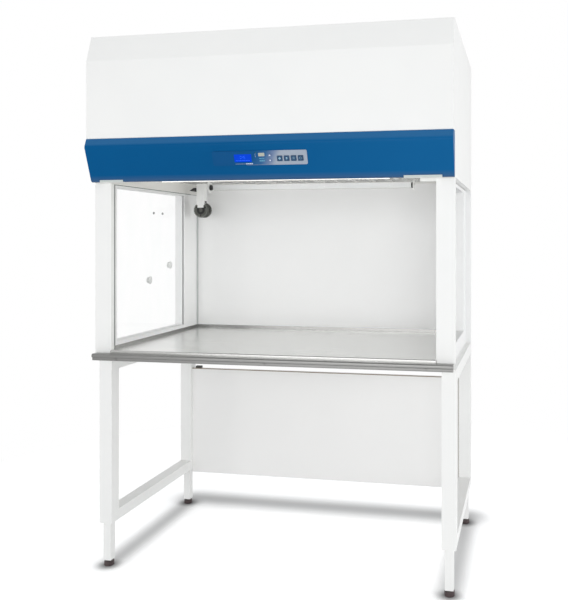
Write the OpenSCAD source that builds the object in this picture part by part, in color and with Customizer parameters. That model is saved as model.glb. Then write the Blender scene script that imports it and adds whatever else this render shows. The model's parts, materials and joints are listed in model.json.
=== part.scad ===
// Vertical laminar flow hood on a stand with telescopic legs.
// X runs to the right, Y to the back and Z up. The origin lies on the floor, under the middle.

/* [Hood] */
// Outside width of the hood
hood_w = 1340; // [1280:10:1460]
// Outside depth of the hood, from the fascia's bulge to the back
hood_d = 810; // [790:2:860]
// Thickness of the painted sheet steel
sheet = 1.5; // [1.2:0.1:2]
// Depth of the folded flanges
flange = 20; // [16:1:24]
// Height of the upright upper front
upper_h = 282; // [276:1:330]
// Height of the sloped strip under the roof
slope_h = 98; // [88:1:120]
// Distance that the sloped strip leans back
slope_run = 33; // [20:1:50]
// Height of the coloured fascia
fascia_h = 155; // [145:1:175]
// Height of the fascia's upper bevel
bevel_h = 31; // [24:1:36]
// Distance that the fascia bulges ahead of the upper front
bulge = 12; // [8:1:18]
// Distance that the fascia's lower edge lies behind its bulge
rake = 45; // [38:1:50]
// Depth of the fascia's shell, from the bulge to its open back
fascia_t = 56; // [54:1:64]
// Radius of the bend along the bulge
bulge_r = 16; // [8:1:24]
// Radius of the bend along the fascia's lower edge
foot_bend_r = 12; // [6:1:14]

/* [Air system] */
// Distance from the hood's side to the filter
filter_side_room = 60; // [55:1:90]
// Depth of the hood that the filter leaves free
filter_end_room = 200; // [180:5:230]
// Height of the filter's frame
filter_h = 69; // [60:1:80]
// Wall of the filter's frame
filter_wall = 20; // [15:1:25]
// Thickness of the filter's gasket
gasket_t = 8; // [5:1:10]
// Folds in the filter's pleated paper
pleats = 59; // [39:2:79]
// Height of the pressure chamber between the filter and the blower's deck
plenum_h = 45; // [30:1:50]
// Inside width of the blower's scroll
scroll_w = 240; // [220:2:260]
// Largest radius of the scroll
scroll_r = 185; // [175:1:190]
// Smallest radius of the scroll
scroll_min_r = 126; // [124:1:132]
// Height of the blower's axle above the deck
axle_h = 152; // [145:1:158]
// Radius of the blower's wheel
wheel_r = 115; // [105:1:116]
// Width of the blower's wheel
wheel_w = 190; // [170:2:200]
// Blades round the blower's wheel
blades = 36; // [24:2:44]
// Radius of the blower's stator
stator_r = 46; // [38:1:50]
// Radius of the motor's axle
axle_r = 6; // [5:0.5:7]
// Clearance of the rotor on its axle
axle_fit = 0.05; // [0.02:0.01:0.09]
// Width of the air intake in the roof
intake_w = 520; // [440:10:600]
// Depth of the air intake in the roof
intake_d = 320; // [280:10:360]
// Height of the cover over the air intake
intake_h = 24; // [20:1:32]

/* [Work chamber] */
// Height of the front opening, from the nosing to the fascia
opening_h = 631; // [600:1:660]
// Height of the ceiling above the fascia's lower edge
ceiling_rise = 35; // [30:1:45]
// Width of a front post
post_w = 65; // [60:1:72]
// Depth of a front post
post_d = 20; // [16:1:30]
// Distance from the fascia's bulge to the posts
post_set = 70; // [66:1:80]
// Wall of the square tubes
tube_wall = 2; // [1.5:0.1:3]
// Distance from the hood's side to the chamber's inner wall
wall_inset = 65; // [61:1:68]
// Thickness of the side walls
wall_t = 45; // [40:1:50]
// Width of a side wall's rear stile
stile_w = 133; // [120:1:160]
// Width of a side wall's front stile
front_stile_w = 13; // [10:1:30]
// Height of a side wall's lower rail above the worktop
sill_h = 26; // [20:1:36]
// Height of a side wall's upper rail
head_h = 8; // [8:1:24]
// Height of the ceiling's side skirts
skirt_h = 40; // [37:1:60]
// Depth of the outer columns beside the rear wall
column_d = 45; // [36:1:60]
// Thickness of the side windows
glass_t = 6; // [5:1:8]
// Clearance of a window in its groove
glass_fit = 0.3; // [0.2:0.1:0.5]
// Depth of the window's groove
groove_d = 6; // [4:0.5:7]
// Width of the rubber strip between a post and its side wall
seal_w = 8; // [5:1:10]
// Thickness of the rubber strip on a side wall
seal_t = 3; // [2:0.5:4]
// Side of the rubber bead in the chamber's rear corners
bead = 6; // [4:1:10]
// Depth of the chamber's rear wall
back_t = 15; // [12:1:20]
// Diameter of the service holes in the left window
service_d = 10; // [8:1:14]
// Distance between the service holes
service_pitch = 75; // [50:1:90]
// Height of the service holes above the worktop
service_h = 517; // [480:1:540]
// Diameter of the holes that the plugs close
plug_d = 25; // [20:1:30]

/* [Controls] */
// Width of the control panel
panel_w = 346; // [340:1:360]
// Height of the control panel
panel_h = 51; // [49:1:60]
// Thickness of the control panel
panel_t = 2.5; // [2:0.1:3.5]
// Distance from the bulge down to the middle of the control panel
panel_drop = 53; // [48:1:60]
// Place of the control panel's middle
panel_x = -7; // [-12:1:-4]
// Width of the display
display_w = 64; // [56:1:74]
// Height of the display
display_h = 28; // [22:1:30]
// Place of the display's middle
display_x = -68; // [-80:1:-60]
// Side of a square key
key_side = 19; // [16:0.5:20]
// Distance between the square keys
key_pitch = 25.2; // [23:0.1:27]
// Place of the first square key
key_x = 67; // [60:1:70]
// Width of an arrow key
arrow_w = 11.5; // [9:0.5:15]
// Height of an arrow key
arrow_h = 8; // [6:0.5:10]
// Distance from an arrow key to the panel's middle line
arrow_rise = 9.5; // [7:0.5:11]
// Place of the arrow keys
arrow_x = 32; // [25:1:38]
// Height of the keys above the control panel
key_rise = 1.5; // [1:0.1:2.5]
// Clearance round a key
key_fit = 0.4; // [0.3:0.1:0.6]
// Travel of a key
key_travel = 0.8; // [0.5:0.1:1]

/* [Lamps] */
// Diameter of the lamps' glass
lamp_d = 26; // [16:1:26]
// Length of the lamps
lamp_l = 894.6; // [860:0.2:900]
// Distance between the two working lamps
lamp_gap = 40; // [32:1:46]
// Depth of the germicidal lamp's holders
holder_d = 42; // [36:1:50]
// Thickness of the germicidal lamp's holders
holder_t = 4; // [3:0.5:6]

/* [Drop post] */
// Width of the post that hangs from the ceiling
drop_w = 36; // [30:1:44]
// Depth of the hanging post
drop_d = 30; // [24:1:36]
// Length of the hanging post
drop_h = 82; // [66:1:100]
// Distance from the chamber's wall to the hanging post's middle
drop_inset = 83; // [75:1:125]
// Diameter of the ribbed discs
disc_d = 67; // [56:1:76]
// Thickness of a ribbed disc
disc_t = 16; // [10:1:18]
// Ribs round a disc
disc_ribs = 28; // [16:2:36]

/* [Worktop] */
// Height of the nosing and of the cabinet's base
base_h = 25; // [22:1:32]
// Height of the worktop above the nosing
worktop_rise = 12; // [9:1:16]
// Distance from the posts' front to the worktop's front edge
worktop_lead = 6; // [4:1:10]
// Distance from the posts' front to the nosing's front
nosing_lead = 33; // [30:1:40]
// Set-back of the nosing's lower half
nosing_step = 5; // [4.5:0.5:6]
// Thickness of the stainless sheet
steel = 1.5; // [1:0.1:1.8]
// Height of the worktop's upturned edge
lip_h = 12; // [8:1:18]

/* [Stand] */
// Height of the stand
stand_h = 785; // [740:1:820]
// Side of the square outer legs
leg_side = 50; // [48:1:56]
// Side of the square inner legs
inner_side = 30; // [26:1:36]
// Thickness of the plate that guides an inner leg
guide_t = 4; // [2:0.5:6]
// Height of the block on top of an inner leg
guide_h = 20; // [12:1:30]
// Clearance between an outer and an inner leg
leg_fit = 0.3; // [0.2:0.1:0.5]
// Height of the outer legs' lower end
leg_end_z = 165; // [150:1:180]
// Height of the inner legs' lower end
inner_end_z = 22; // [21:1:30]
// Travel of the inner legs
leg_travel = 150; // [100:1:180]
// Height of the stand's upper rails
rail_h = 45; // [38:1:50]
// Height of the stretchers
stretcher_h = 40; // [34:1:50]
// Distance from the posts' front to the front legs
leg_set = 28; // [24:1:36]
// Height of the rear panel's lower edge
panel_z = 148; // [130:1:160]
// Height of the rear panel's upper edge
panel_top_z = 632; // [600:1:660]
// Diameter of the feet
foot_d = 36; // [32:1:42]
// Height of the feet
foot_h = 18; // [16:1:20]
// Radius of the feet's threaded studs
stud_r = 6; // [5:0.5:8]
// Clearance of a stud in its leg
stud_fit = 0.05; // [0.02:0.01:0.09]
// Travel of the feet
foot_travel = 25; // [15:1:30]

/* [Hidden] */
$fn = 48;

white = [0.95, 0.95, 0.94];
blue = [0.0, 0.34, 0.56];
stainless = [0.72, 0.73, 0.72];
rubber = [0.12, 0.11, 0.11];
cream = [0.9, 0.89, 0.85];

// Planes of the hood, from the front to the back.
half_w = hood_w / 2;
skin_x = half_w - sheet;
bulge_y = -hood_d / 2 - bend_relief([bulge, bevel_h], [rake, bevel_h - fascia_h], bulge_r);
face_y = bulge_y + bulge;
fascia_foot_y = bulge_y + rake;
fascia_back_y = bulge_y + fascia_t;
back_y = hood_d / 2;
roof_front_y = face_y + slope_run + flange;

// Heights, from the floor up.
nose_z = stand_h + base_h;
work_z = nose_z + worktop_rise;
hood_z = nose_z + opening_h;
ceiling_z = hood_z + ceiling_rise;
ceiling_top_z = ceiling_z + sheet;
fascia_top_z = hood_z + fascia_h;
bulge_z = fascia_top_z - bevel_h;
bend_z = fascia_top_z + upper_h;
roof_z = bend_z + slope_h;
seat_gap = 0.3;
bend_r = 3;

// The side walls and posts of the work chamber.
post_y = bulge_y + post_set;
post_back_y = post_y + post_d;
post_x = half_w - post_w;
wall_x = half_w - wall_inset;
wall_out_x = wall_x + wall_t;
back_wall_y = back_y - back_t;
stile_y = back_wall_y - stile_w;
frame_y = post_back_y + seal_w;
sill_z = work_z + sill_h;
skirt_z = ceiling_z - skirt_h;
frame_top_z = skirt_z - seal_t;
head_z = frame_top_z - head_h;
glass_inset = 4;
glass_x = wall_x + glass_inset;
drop_x = wall_x - drop_inset;
filter_w = hood_w - 2 * filter_side_room;
filter_d = hood_d - filter_end_room;
ledge_w = 20;

// The air system.
filter_y = (post_back_y + back_wall_y) / 2 - filter_d / 2 + 5;
filter_z = ceiling_top_z + gasket_t;
deck_z = filter_z + filter_h + plenum_h;
deck_top_z = deck_z + sheet;
deck_back_y = back_y - flange;
axle_z = deck_top_z + axle_h;
outlet_y = scroll_min_r / 2;

// The stand.
front_leg_y = post_y + leg_set;
rear_leg_y = back_y - leg_side;
leg_x = half_w - leg_side;
block_side = leg_side - 2 * tube_wall - 2 * leg_fit;
inner_len = leg_end_z - inner_end_z + 2 * leg_travel + 30;
rail_z = stand_h - rail_h;
beam_y = post_y + nosing_step - 14;

// How far a bend's outermost point lies behind the corner that it rounds, between the directions u and v.
function bend_relief(u, v, r) =
    let (a = u / norm(u), b = v / norm(v), half = acos(a * b) / 2)
    ((a + b) / norm(a + b))[0] * r / sin(half) - r;

// Points of a folded sheet: a path with rounded corners, and the same path moved sideways.
function seg_normal(a, b) = let (d = b - a) [-d[1], d[0]] / norm(d);
function moved(p, i, t) =
    i == 0 ? p[0] + t * seg_normal(p[0], p[1])
    : i == len(p) - 1 ? p[i] + t * seg_normal(p[i - 1], p[i])
    : let (m = seg_normal(p[i - 1], p[i]) + seg_normal(p[i], p[i + 1])) p[i] + t * 2 * m / (m * m);
function bend(a, b, c, r, n) =
    let (
        u = (a - b) / norm(a - b),
        v = (c - b) / norm(c - b),
        half = acos(u * v) / 2,
        centre = b + (u + v) / norm(u + v) * r / sin(half),
        p = b + u * r / tan(half) - centre,
        q = b + v * r / tan(half) - centre,
        turn = sign(p[0] * q[1] - p[1] * q[0]) * (180 - 2 * half)
    )
    [for (i = [0:n]) let (k = turn * i / n)
        centre + [p[0] * cos(k) - p[1] * sin(k), p[0] * sin(k) + p[1] * cos(k)]];
function folded(p, radii, n = 5) = concat(
    [p[0]],
    [for (i = [1:len(p) - 2]) each bend(p[i - 1], p[i], p[i + 1], radii[i - 1], n)],
    [p[len(p) - 1]]
);
function round_rect(w, h, r, n = 5) =
    let (c = [[w / 2 - r, h / 2 - r], [r - w / 2, h / 2 - r], [r - w / 2, r - h / 2], [w / 2 - r, r - h / 2]])
    [for (q = [0:3]) for (i = [0:n]) c[q] + r * [cos(90 * (q + i / n)), sin(90 * (q + i / n))]];

module folded_sheet(path, t) {
    polygon(concat(path, [for (i = [len(path) - 1:-1:0]) moved(path, i, t)]));
}

// A profile drawn with Y to the right and Z up, drawn out from x0 to x1.
module along_x(x0, x1) {
    translate([x0, 0, 0]) rotate([90, 0, 90]) linear_extrude(height = x1 - x0) children();
}

module block(lo, hi) {
    translate(lo) cube(hi - lo);
}

module tube_z(lo, hi, wall) {
    difference() {
        block(lo, hi);
        block(lo + [wall, wall, -1], hi + [-wall, -wall, 1]);
    }
}

module tube_x(lo, hi, wall) {
    difference() {
        block(lo, hi);
        block(lo + [-1, wall, wall], hi + [1, -wall, -wall]);
    }
}

module both_sides() {
    children();
    mirror([1, 0, 0]) children();
}

module on_side(side) {
    if (side < 0) mirror([1, 0, 0]) children();
    else children();
}

// ---- Hood ----

fascia_path = folded(
    [[fascia_back_y, fascia_top_z], [face_y, fascia_top_z], [bulge_y, bulge_z],
     [fascia_foot_y, hood_z], [fascia_back_y, hood_z]],
    [bend_r, bulge_r, foot_bend_r], 6
);

module hood_side(side) {
    color(white) on_side(side) {
        along_x(skin_x, half_w) polygon([
            [fascia_back_y, hood_z], [fascia_back_y, fascia_top_z], [face_y, fascia_top_z], [face_y, bend_z],
            [face_y + slope_run, roof_z], [back_y, roof_z], [back_y, hood_z]
        ]);
        block([wall_out_x + seat_gap, post_back_y + 1, hood_z], [skin_x, back_wall_y, hood_z + sheet]);
    }
}

module hood_side_left() {
    hood_side(-1);
}

module hood_side_right() {
    hood_side(1);
}

module hood_front() {
    path = folded(
        [[face_y + flange, fascia_top_z], [face_y, fascia_top_z], [face_y, bend_z],
         [face_y + slope_run, roof_z], [roof_front_y, roof_z]],
        [bend_r, 8, 5]
    );
    color(white) along_x(-skin_x, skin_x) folded_sheet(path, -sheet);
}

intake_rim = 40;

module hood_top() {
    color(white) difference() {
        block([-skin_x, roof_front_y, roof_z - flange], [skin_x, back_y, roof_z]);
        block([sheet - skin_x, roof_front_y + sheet, roof_z - flange - 1],
              [skin_x - sheet, back_y - sheet, roof_z - sheet]);
        block([intake_rim - intake_w / 2, intake_rim - intake_d / 2, roof_z - 5],
              [intake_w / 2 - intake_rim, intake_d / 2 - intake_rim, roof_z + 1]);
    }
}

inlet_inset = 220;
inlet_x = inlet_inset - half_w;
inlet_z = ceiling_z + 224;
inlet_w = 28;
inlet_h = 48;

module hood_back() {
    top = roof_z - flange;
    color(white) {
        difference() {
            block([-skin_x, back_y - sheet, ceiling_z], [skin_x, back_y, top]);
            translate([inlet_x, back_y, inlet_z]) cube([inlet_w, 3 * flange, inlet_h], center = true);
        }
        both_sides() block([skin_x - sheet, back_y - flange, ceiling_top_z], [skin_x, back_y - sheet, top]);
        block([-skin_x, back_y - flange, top - sheet], [skin_x, back_y - sheet, top]);
    }
}

module fascia() {
    color(blue) {
        difference() {
            along_x(-skin_x, skin_x) folded_sheet(fascia_path, sheet);
            on_face() block([window_x0, -window_h / 2, -2 * sheet], [window_x1, window_h / 2, sheet]);
        }
        both_sides() along_x(skin_x, half_w) polygon(fascia_path);
    }
}

module ceiling_frame() {
    color(cream) {
        difference() {
            block([-skin_x, fascia_back_y, ceiling_z], [skin_x, back_y - sheet, ceiling_top_z]);
            block([-diffuser_w / 2 + 15, diffuser_y + 10, ceiling_z - 1],
                  [diffuser_w / 2 - 15, diffuser_y + diffuser_d - 10, ceiling_top_z + 1]);
        }
        block([-skin_x, fascia_back_y, hood_z], [skin_x, fascia_back_y + sheet, ceiling_z]);
        both_sides() block([wall_x, post_back_y, skirt_z], [wall_x + sheet, back_wall_y, ceiling_z]);
    }
}

// ---- Air system ----

// A sheet with rows of slots, drawn flat from its lower left corner.
module slotted(w, d, cols, rows, rim, bar) {
    slot_w = (w - 2 * rim - (cols - 1) * bar) / cols;
    slot_d = (d - 2 * rim - (rows - 1) * bar) / rows;
    difference() {
        square([w, d]);
        for (i = [0:cols - 1], j = [0:rows - 1])
            translate([rim + i * (slot_w + bar), rim + j * (slot_d + bar)]) square([slot_w, slot_d]);
    }
}

module intake_grille() {
    color(white) translate([-intake_w / 2, -intake_d / 2, roof_z]) {
        translate([0, 0, intake_h - sheet]) linear_extrude(height = sheet)
            slotted(intake_w, intake_d, 5, 16, 30, 8);
        difference() {
            cube([intake_w, intake_d, intake_h - sheet]);
            translate([sheet, sheet, -1]) cube([intake_w - 2 * sheet, intake_d - 2 * sheet, intake_h + 2]);
        }
    }
}

module prefilter_pad() {
    rim = 2 * sheet;
    color([0.85, 0.88, 0.9])
        block([rim - intake_w / 2, rim - intake_d / 2, roof_z],
              [intake_w / 2 - rim, intake_d / 2 - rim, roof_z + intake_h - sheet - seat_gap]);
}

module blower_deck() {
    color([0.75, 0.77, 0.78]) {
        difference() {
            block([-skin_x, face_y + sheet, deck_z], [skin_x, deck_back_y, deck_top_z]);
            block([-scroll_w / 2, outlet_y, deck_z - 1], [scroll_w / 2, scroll_r, deck_top_z + 1]);
        }
        both_sides() block([skin_x - sheet, fascia_back_y, deck_z - flange], [skin_x, deck_back_y, deck_z]);
    }
}

// The scroll's outline, from the outlet's outer edge up, over the wheel and down to its inner edge.
spiral_turn = 300;
spiral_path = concat(
    [[scroll_r, -axle_h]],
    [for (a = [0:10:spiral_turn])
        (scroll_r - (scroll_r - scroll_min_r) * a / spiral_turn) * [cos(a), sin(a)]],
    [[outlet_y, -axle_h]]
);
inlet_r = wheel_r - 23;
mouth_r = 12;

module scroll_side() {
    linear_extrude(height = sheet) difference() {
        polygon(spiral_path);
        circle(r = inlet_r + mouth_r);
    }
    rotate_extrude() translate([inlet_r + mouth_r, 0]) polygon(concat(
        [for (a = [90:15:180]) mouth_r * [cos(a), -1 + sin(a)] + [0, sheet]],
        [for (a = [180:-15:90]) (mouth_r - sheet) * [cos(a), sin(a)] + [0, sheet - mouth_r]]
    ));
}

module blower_scroll() {
    color([0.78, 0.8, 0.81]) {
        translate([0, 0, axle_z]) {
            along_x(-scroll_w / 2, scroll_w / 2) folded_sheet(spiral_path, sheet);
            both_sides() translate([scroll_w / 2, 0, 0]) rotate([90, 0, 90]) scroll_side();
        }
        difference() {
            block([-scroll_w / 2 - flange, outlet_y - flange, deck_top_z],
                  [scroll_w / 2 + flange, scroll_r + flange, deck_top_z + sheet]);
            block([-scroll_w / 2, outlet_y, deck_top_z - 1],
                  [scroll_w / 2, scroll_r, deck_top_z + 2 * sheet]);
        }
    }
}

rotor_wall = 5;
rotor_r = stator_r + 2 + rotor_wall;
rotor_w = 90;
ring_t = 3;
blade_w = 20;

// One forward-curved blade, an arc between the wheel's inner and outer edge.
module blade_arc() {
    inner = wheel_r - blade_w;
    curve = 16;
    n = 5;
    arc = [for (i = [0:n]) let (k = i / n) [inner + (wheel_r - inner) * k, curve * 0.5 * k * k]];
    folded_sheet(arc, 1.2);
}

module blower_wheel() {
    color([0.66, 0.68, 0.7]) translate([0, 0, axle_z]) rotate([90, 0, 90]) {
        translate([0, 0, -wheel_w / 2]) linear_extrude(height = wheel_w)
            for (i = [0:blades - 1]) rotate(360 / blades * i) blade_arc();
        for (z = [-wheel_w / 2, wheel_w / 2 - ring_t]) translate([0, 0, z])
            linear_extrude(height = ring_t) difference() {
                circle(r = wheel_r);
                circle(r = wheel_r - blade_w - 2);
            }
        linear_extrude(height = ring_t) difference() {
            circle(r = wheel_r - 2);
            circle(r = rotor_r - 1);
        }
        difference() {
            translate([0, 0, -rotor_w / 2]) cylinder(r = rotor_r, h = rotor_w);
            translate([0, 0, -rotor_w / 2 - 1]) cylinder(r = rotor_r - rotor_wall, h = rotor_w - rotor_wall);
            cylinder(r = axle_r + axle_fit, h = rotor_w);
        }
    }
}

module blower_motor() {
    arm_z = -scroll_w / 2 - sheet;
    arm_t = 5;
    arm_w = 18;
    color([0.25, 0.26, 0.28]) translate([0, 0, axle_z]) rotate([90, 0, 90]) {
        translate([0, 0, arm_z - arm_t]) cylinder(r = axle_r, h = rotor_w / 2 + 12 - arm_z + arm_t);
        translate([0, 0, -rotor_w / 2 - 8]) cylinder(r = stator_r, h = rotor_w - rotor_wall);
        translate([0, 0, arm_z - arm_t]) linear_extrude(height = arm_t) {
            circle(r = stator_r - 8);
            for (a = [30, 150, 270]) rotate(a) translate([0, -arm_w / 2])
                square([inlet_r + mouth_r + 12, arm_w]);
        }
    }
}

diffuser_w = filter_w - 2 * filter_wall - 1;
diffuser_d = filter_d - 2 * filter_wall - 1;
diffuser_y = filter_y + filter_wall + 0.5;

module filter_frame() {
    inner_lo = [filter_wall - filter_w / 2, filter_y + filter_wall];
    inner_hi = [filter_w / 2 - filter_wall, filter_y + filter_d - filter_wall];
    color([0.82, 0.83, 0.84]) difference() {
        block([-filter_w / 2, filter_y, ceiling_top_z],
              [filter_w / 2, filter_y + filter_d, filter_z + filter_h]);
        block([each inner_lo, ceiling_top_z - 1], [each inner_hi, filter_z + filter_h + 1]);
    }
}

module filter_pack() {
    x0 = filter_wall - filter_w / 2;
    pitch = (filter_w - 2 * filter_wall) / (2 * pleats);
    low = filter_z + 5;
    high = filter_z + filter_h - 8;
    paper = 3;
    line = [for (i = [0:2 * pleats]) [x0 + i * pitch, i % 2 == 0 ? low : high]];
    color([0.96, 0.96, 0.94]) translate([0, filter_y + filter_d - filter_wall, 0]) rotate([90, 0, 0])
        linear_extrude(height = filter_d - 2 * filter_wall)
            polygon(concat(line, [for (i = [2 * pleats:-1:0]) line[i] + [0, paper]]));
}

// The slotted screen, with closed lands where the lamp holders and the hanging post are fastened.
module diffuser_screen() {
    land = 16;
    color(cream) translate([0, 0, ceiling_top_z]) linear_extrude(height = sheet) {
        translate([-diffuser_w / 2, diffuser_y]) slotted(diffuser_w, diffuser_d, 15, 8, 30, 14);
        for (s = [-1, 1]) translate([s * (lamp_l + holder_t) / 2, uv_y])
            square([holder_t + 2 * land, holder_d + 2 * land], center = true);
        translate([-drop_x, drop_y + drop_d / 2])
            square([drop_w + 2 * land, drop_d + 2 * land], center = true);
    }
}

// ---- Lamps ----

lamp_z = ceiling_z - sheet - 4 - lamp_d / 2;
tray_y = post_y + 6;
tray_d = lamp_gap + lamp_d + 14;
tray_x = lamp_l / 2 + 14;

module lamp_tray() {
    color(white) {
        block([-tray_x, tray_y, ceiling_z - sheet], [tray_x, tray_y + tray_d, ceiling_z]);
        both_sides() block([lamp_l / 2, tray_y, lamp_z - lamp_d / 2],
                           [tray_x, tray_y + tray_d, ceiling_z - sheet]);
    }
}

module lamp(l, d) {
    cap = 14;
    rotate([0, 90, 0]) {
        cylinder(d = d - 1, h = l, center = true);
        for (s = [-1, 1]) translate([0, 0, s * (l - cap) / 2]) cylinder(d = d, h = cap, center = true);
    }
}

module lamp_tubes() {
    color([0.97, 0.98, 1]) for (s = [-1, 1])
        translate([0, tray_y + tray_d / 2 + s * lamp_gap / 2, lamp_z]) lamp(lamp_l, lamp_d);
}

uv_y = back_wall_y - 204;
uv_z = ceiling_z - 8 - lamp_d / 2;

module uv_tube() {
    color([0.86, 0.9, 0.94]) translate([0, uv_y, uv_z]) lamp(lamp_l, lamp_d);
}

module uv_brackets() {
    color(white) both_sides() along_x(lamp_l / 2, lamp_l / 2 + holder_t) union() {
        translate([uv_y, uv_z]) circle(d = holder_d);
        translate([uv_y - holder_d / 2, uv_z]) square([holder_d, ceiling_top_z - uv_z]);
    }
}

// ---- Controls ----

face_lean = atan2(rake, fascia_h - bevel_h);
window_x0 = display_x - display_w / 2 - 15;
window_x1 = key_x + 3 * key_pitch + key_side / 2 + 5;
window_h = panel_h - 9;

// Places its children on the fascia's raked face, with Z pointing out of it.
module on_face() {
    translate([0, bulge_y + panel_drop * sin(face_lean), bulge_z - panel_drop * cos(face_lean)])
        rotate([90 + face_lean, 0, 0]) children();
}

function key_place(i) = [key_x + i * key_pitch, -3];
square_keys = [for (i = [0:3]) key_place(i)];
arrow_keys = [[arrow_x, arrow_rise], [arrow_x, -arrow_rise]];
led_place = [-18, 19];
key_r = 1.5;
board_z = -12;
key_flange = 1;

module control_overlay() {
    color([0.35, 0.45, 0.6]) on_face() linear_extrude(height = panel_t) difference() {
        translate([panel_x, 0]) polygon(round_rect(panel_w, panel_h, 5));
        translate([display_x, 0]) square([display_w, display_h], center = true);
        for (p = square_keys)
            translate(p) polygon(round_rect(key_side + 2 * key_fit, key_side + 2 * key_fit, key_r + key_fit));
        for (p = arrow_keys)
            translate(p) square([arrow_w + 2 * key_fit, arrow_h + 2 * key_fit], center = true);
        translate(led_place) circle(r = 1.8);
    }
}

module display_window() {
    color([0.0, 0.25, 1]) on_face() translate([display_x, 0, 0])
        linear_extrude(height = panel_t - 0.4) square([display_w - 0.4, display_h - 0.4], center = true);
}

module control_board() {
    switch_top = -sheet - key_flange - key_travel - 3.5;
    color([0.1, 0.35, 0.2]) on_face() {
        block([window_x0 - 14, -21, board_z], [window_x1 + 14, 21, board_z + 1.6]);
        for (x = [window_x0 - 8, window_x1 + 8], y = [-14, 14])
            translate([x, y, board_z]) cylinder(r = 3, h = -sheet - board_z);
        for (p = concat(square_keys, arrow_keys)) translate([p[0], p[1], board_z])
            linear_extrude(height = switch_top - board_z) square(7, center = true);
        block([display_x - 35, -13, board_z], [display_x + 35, 13, 0]);
        translate([led_place[0], led_place[1], board_z]) cylinder(r = 1.3, h = panel_t - board_z);
    }
}

module key(place, w, h) {
    on_face() translate([place[0], place[1], 0]) {
        translate([0, 0, -seat_gap]) linear_extrude(height = seat_gap + panel_t + key_rise)
            polygon(round_rect(w, h, key_r));
        translate([0, 0, -seat_gap - key_flange]) linear_extrude(height = key_flange)
            polygon(round_rect(w + 2, h + 2, key_r));
        translate([0, 0, -sheet - key_flange - 3]) linear_extrude(height = sheet + 3)
            square(5, center = true);
    }
}

module square_key(i) {
    color([0.12, 0.2, 0.4]) key(square_keys[i], key_side, key_side);
}

module arrow_key(i) {
    color([0.8, 0.84, 0.9]) key(arrow_keys[i], arrow_w, arrow_h);
}

module key_fan() {
    square_key(0);
}

module key_light() {
    square_key(1);
}

module key_uv() {
    square_key(2);
}

module key_outlet() {
    square_key(3);
}

module key_up() {
    arrow_key(0);
}

module key_down() {
    arrow_key(1);
}

module power_inlet() {
    depth = 22;
    fit = 0.2;
    color([0.1, 0.1, 0.1]) translate([inlet_x, back_y, inlet_z]) {
        difference() {
            block([fit - inlet_w / 2, -depth, fit - inlet_h / 2], [inlet_w / 2 - fit, 0, inlet_h / 2 - fit]);
            block([3 - inlet_w / 2, 4 - depth, 4 - inlet_h / 2], [inlet_w / 2 - 3, 1, inlet_h / 2 - 4]);
        }
        difference() {
            block([-26, -sheet - 3, -36], [26, -sheet, 36]);
            block([fit - inlet_w / 2, -depth, fit - inlet_h / 2], [inlet_w / 2 - fit, 1, inlet_h / 2 - fit]);
        }
        for (p = [[-5, -9], [-5, 9], [5, 0]]) translate([p[0], 3 - depth, p[1]])
            block([-1, 0, -3], [1, depth / 2 - 2, 3]);
    }
}

// ---- Work chamber ----

catch_left_w = 92;
catch_right_w = 131;
catch_left_x = 37;
catch_right_x = 41;
catch_h = 7;

// Folded clips that hold the fascia's lower edge, and the block that stops it at the right post.
module catch_plates() {
    lip_y = fascia_foot_y - catch_h * rake / (fascia_h - bevel_h) - seat_gap;
    path = folded([[post_y, hood_z], [lip_y, hood_z], [lip_y, hood_z + catch_h]], [2]);
    color(white) {
        along_x(catch_left_x - half_w, catch_left_x - half_w + catch_left_w) folded_sheet(path, sheet);
        along_x(half_w - catch_right_x - catch_right_w, half_w - catch_right_x) folded_sheet(path, sheet);
        block([post_x - 55, post_y, hood_z - 12], [post_x, post_back_y, hood_z + 5]);
    }
}

module post(side) {
    color(white) on_side(side) difference() {
        tube_z([post_x, post_y, nose_z], [half_w, post_back_y, ceiling_z], tube_wall);
        block([skin_x - seat_gap, post_y - 1, hood_z], [half_w + 1, post_back_y + 1, ceiling_z + 1]);
    }
}

module post_left() {
    post(-1);
}

module post_right() {
    post(1);
}

module side_frame(side) {
    s = sheet;
    color(white) on_side(side) difference() {
        union() {
            block([wall_x - ledge_w, post_back_y, stand_h], [wall_out_x, back_wall_y, nose_z]);
            block([wall_x, frame_y, nose_z], [wall_out_x, back_wall_y, frame_top_z]);
            block([wall_out_x - s, frame_y, nose_z], [wall_out_x, back_wall_y, skirt_z]);
        }
        block([wall_x - 1, frame_y + front_stile_w, sill_z], [wall_out_x + 1, stile_y, head_z]);
        block([wall_x - ledge_w + s, post_back_y + s, stand_h + s],
              [wall_out_x - s, back_wall_y + 1, nose_z - s]);
        block([wall_x + s, frame_y + s, nose_z - 2 * s], [wall_out_x - s, back_wall_y + 1, sill_z - s]);
        block([wall_x + s, stile_y + s, sill_z - 2 * s], [wall_out_x - s, back_wall_y - s, frame_top_z - s]);
        block([glass_x - glass_fit, frame_y + front_stile_w - groove_d, sill_z - groove_d],
              [glass_x + glass_t + glass_fit, stile_y + groove_d, head_z + groove_d]);
    }
}

module side_frame_left() {
    side_frame(-1);
}

module side_frame_right() {
    side_frame(1);
}

module window_pane() {
    g = groove_d - seat_gap;
    block([glass_x, frame_y + front_stile_w - g, sill_z - g], [glass_x + glass_t, stile_y + g, head_z + g]);
}

service_y = 30;
plug_places = [[130, 297], [-43, 241]];

module window_left() {
    color([0.86, 0.92, 0.92, 0.35]) mirror([1, 0, 0]) difference() {
        window_pane();
        for (s = [-1, 1]) translate([glass_x - 1, service_y + s * service_pitch / 2, work_z + service_h])
            rotate([0, 90, 0]) cylinder(d = service_d, h = glass_t + 2);
        for (p = plug_places) translate([glass_x - 1, p[0], work_z + p[1]])
            rotate([0, 90, 0]) cylinder(d = plug_d, h = glass_t + 2);
    }
}

module window_right() {
    color([0.86, 0.92, 0.92, 0.35]) window_pane();
}

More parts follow.
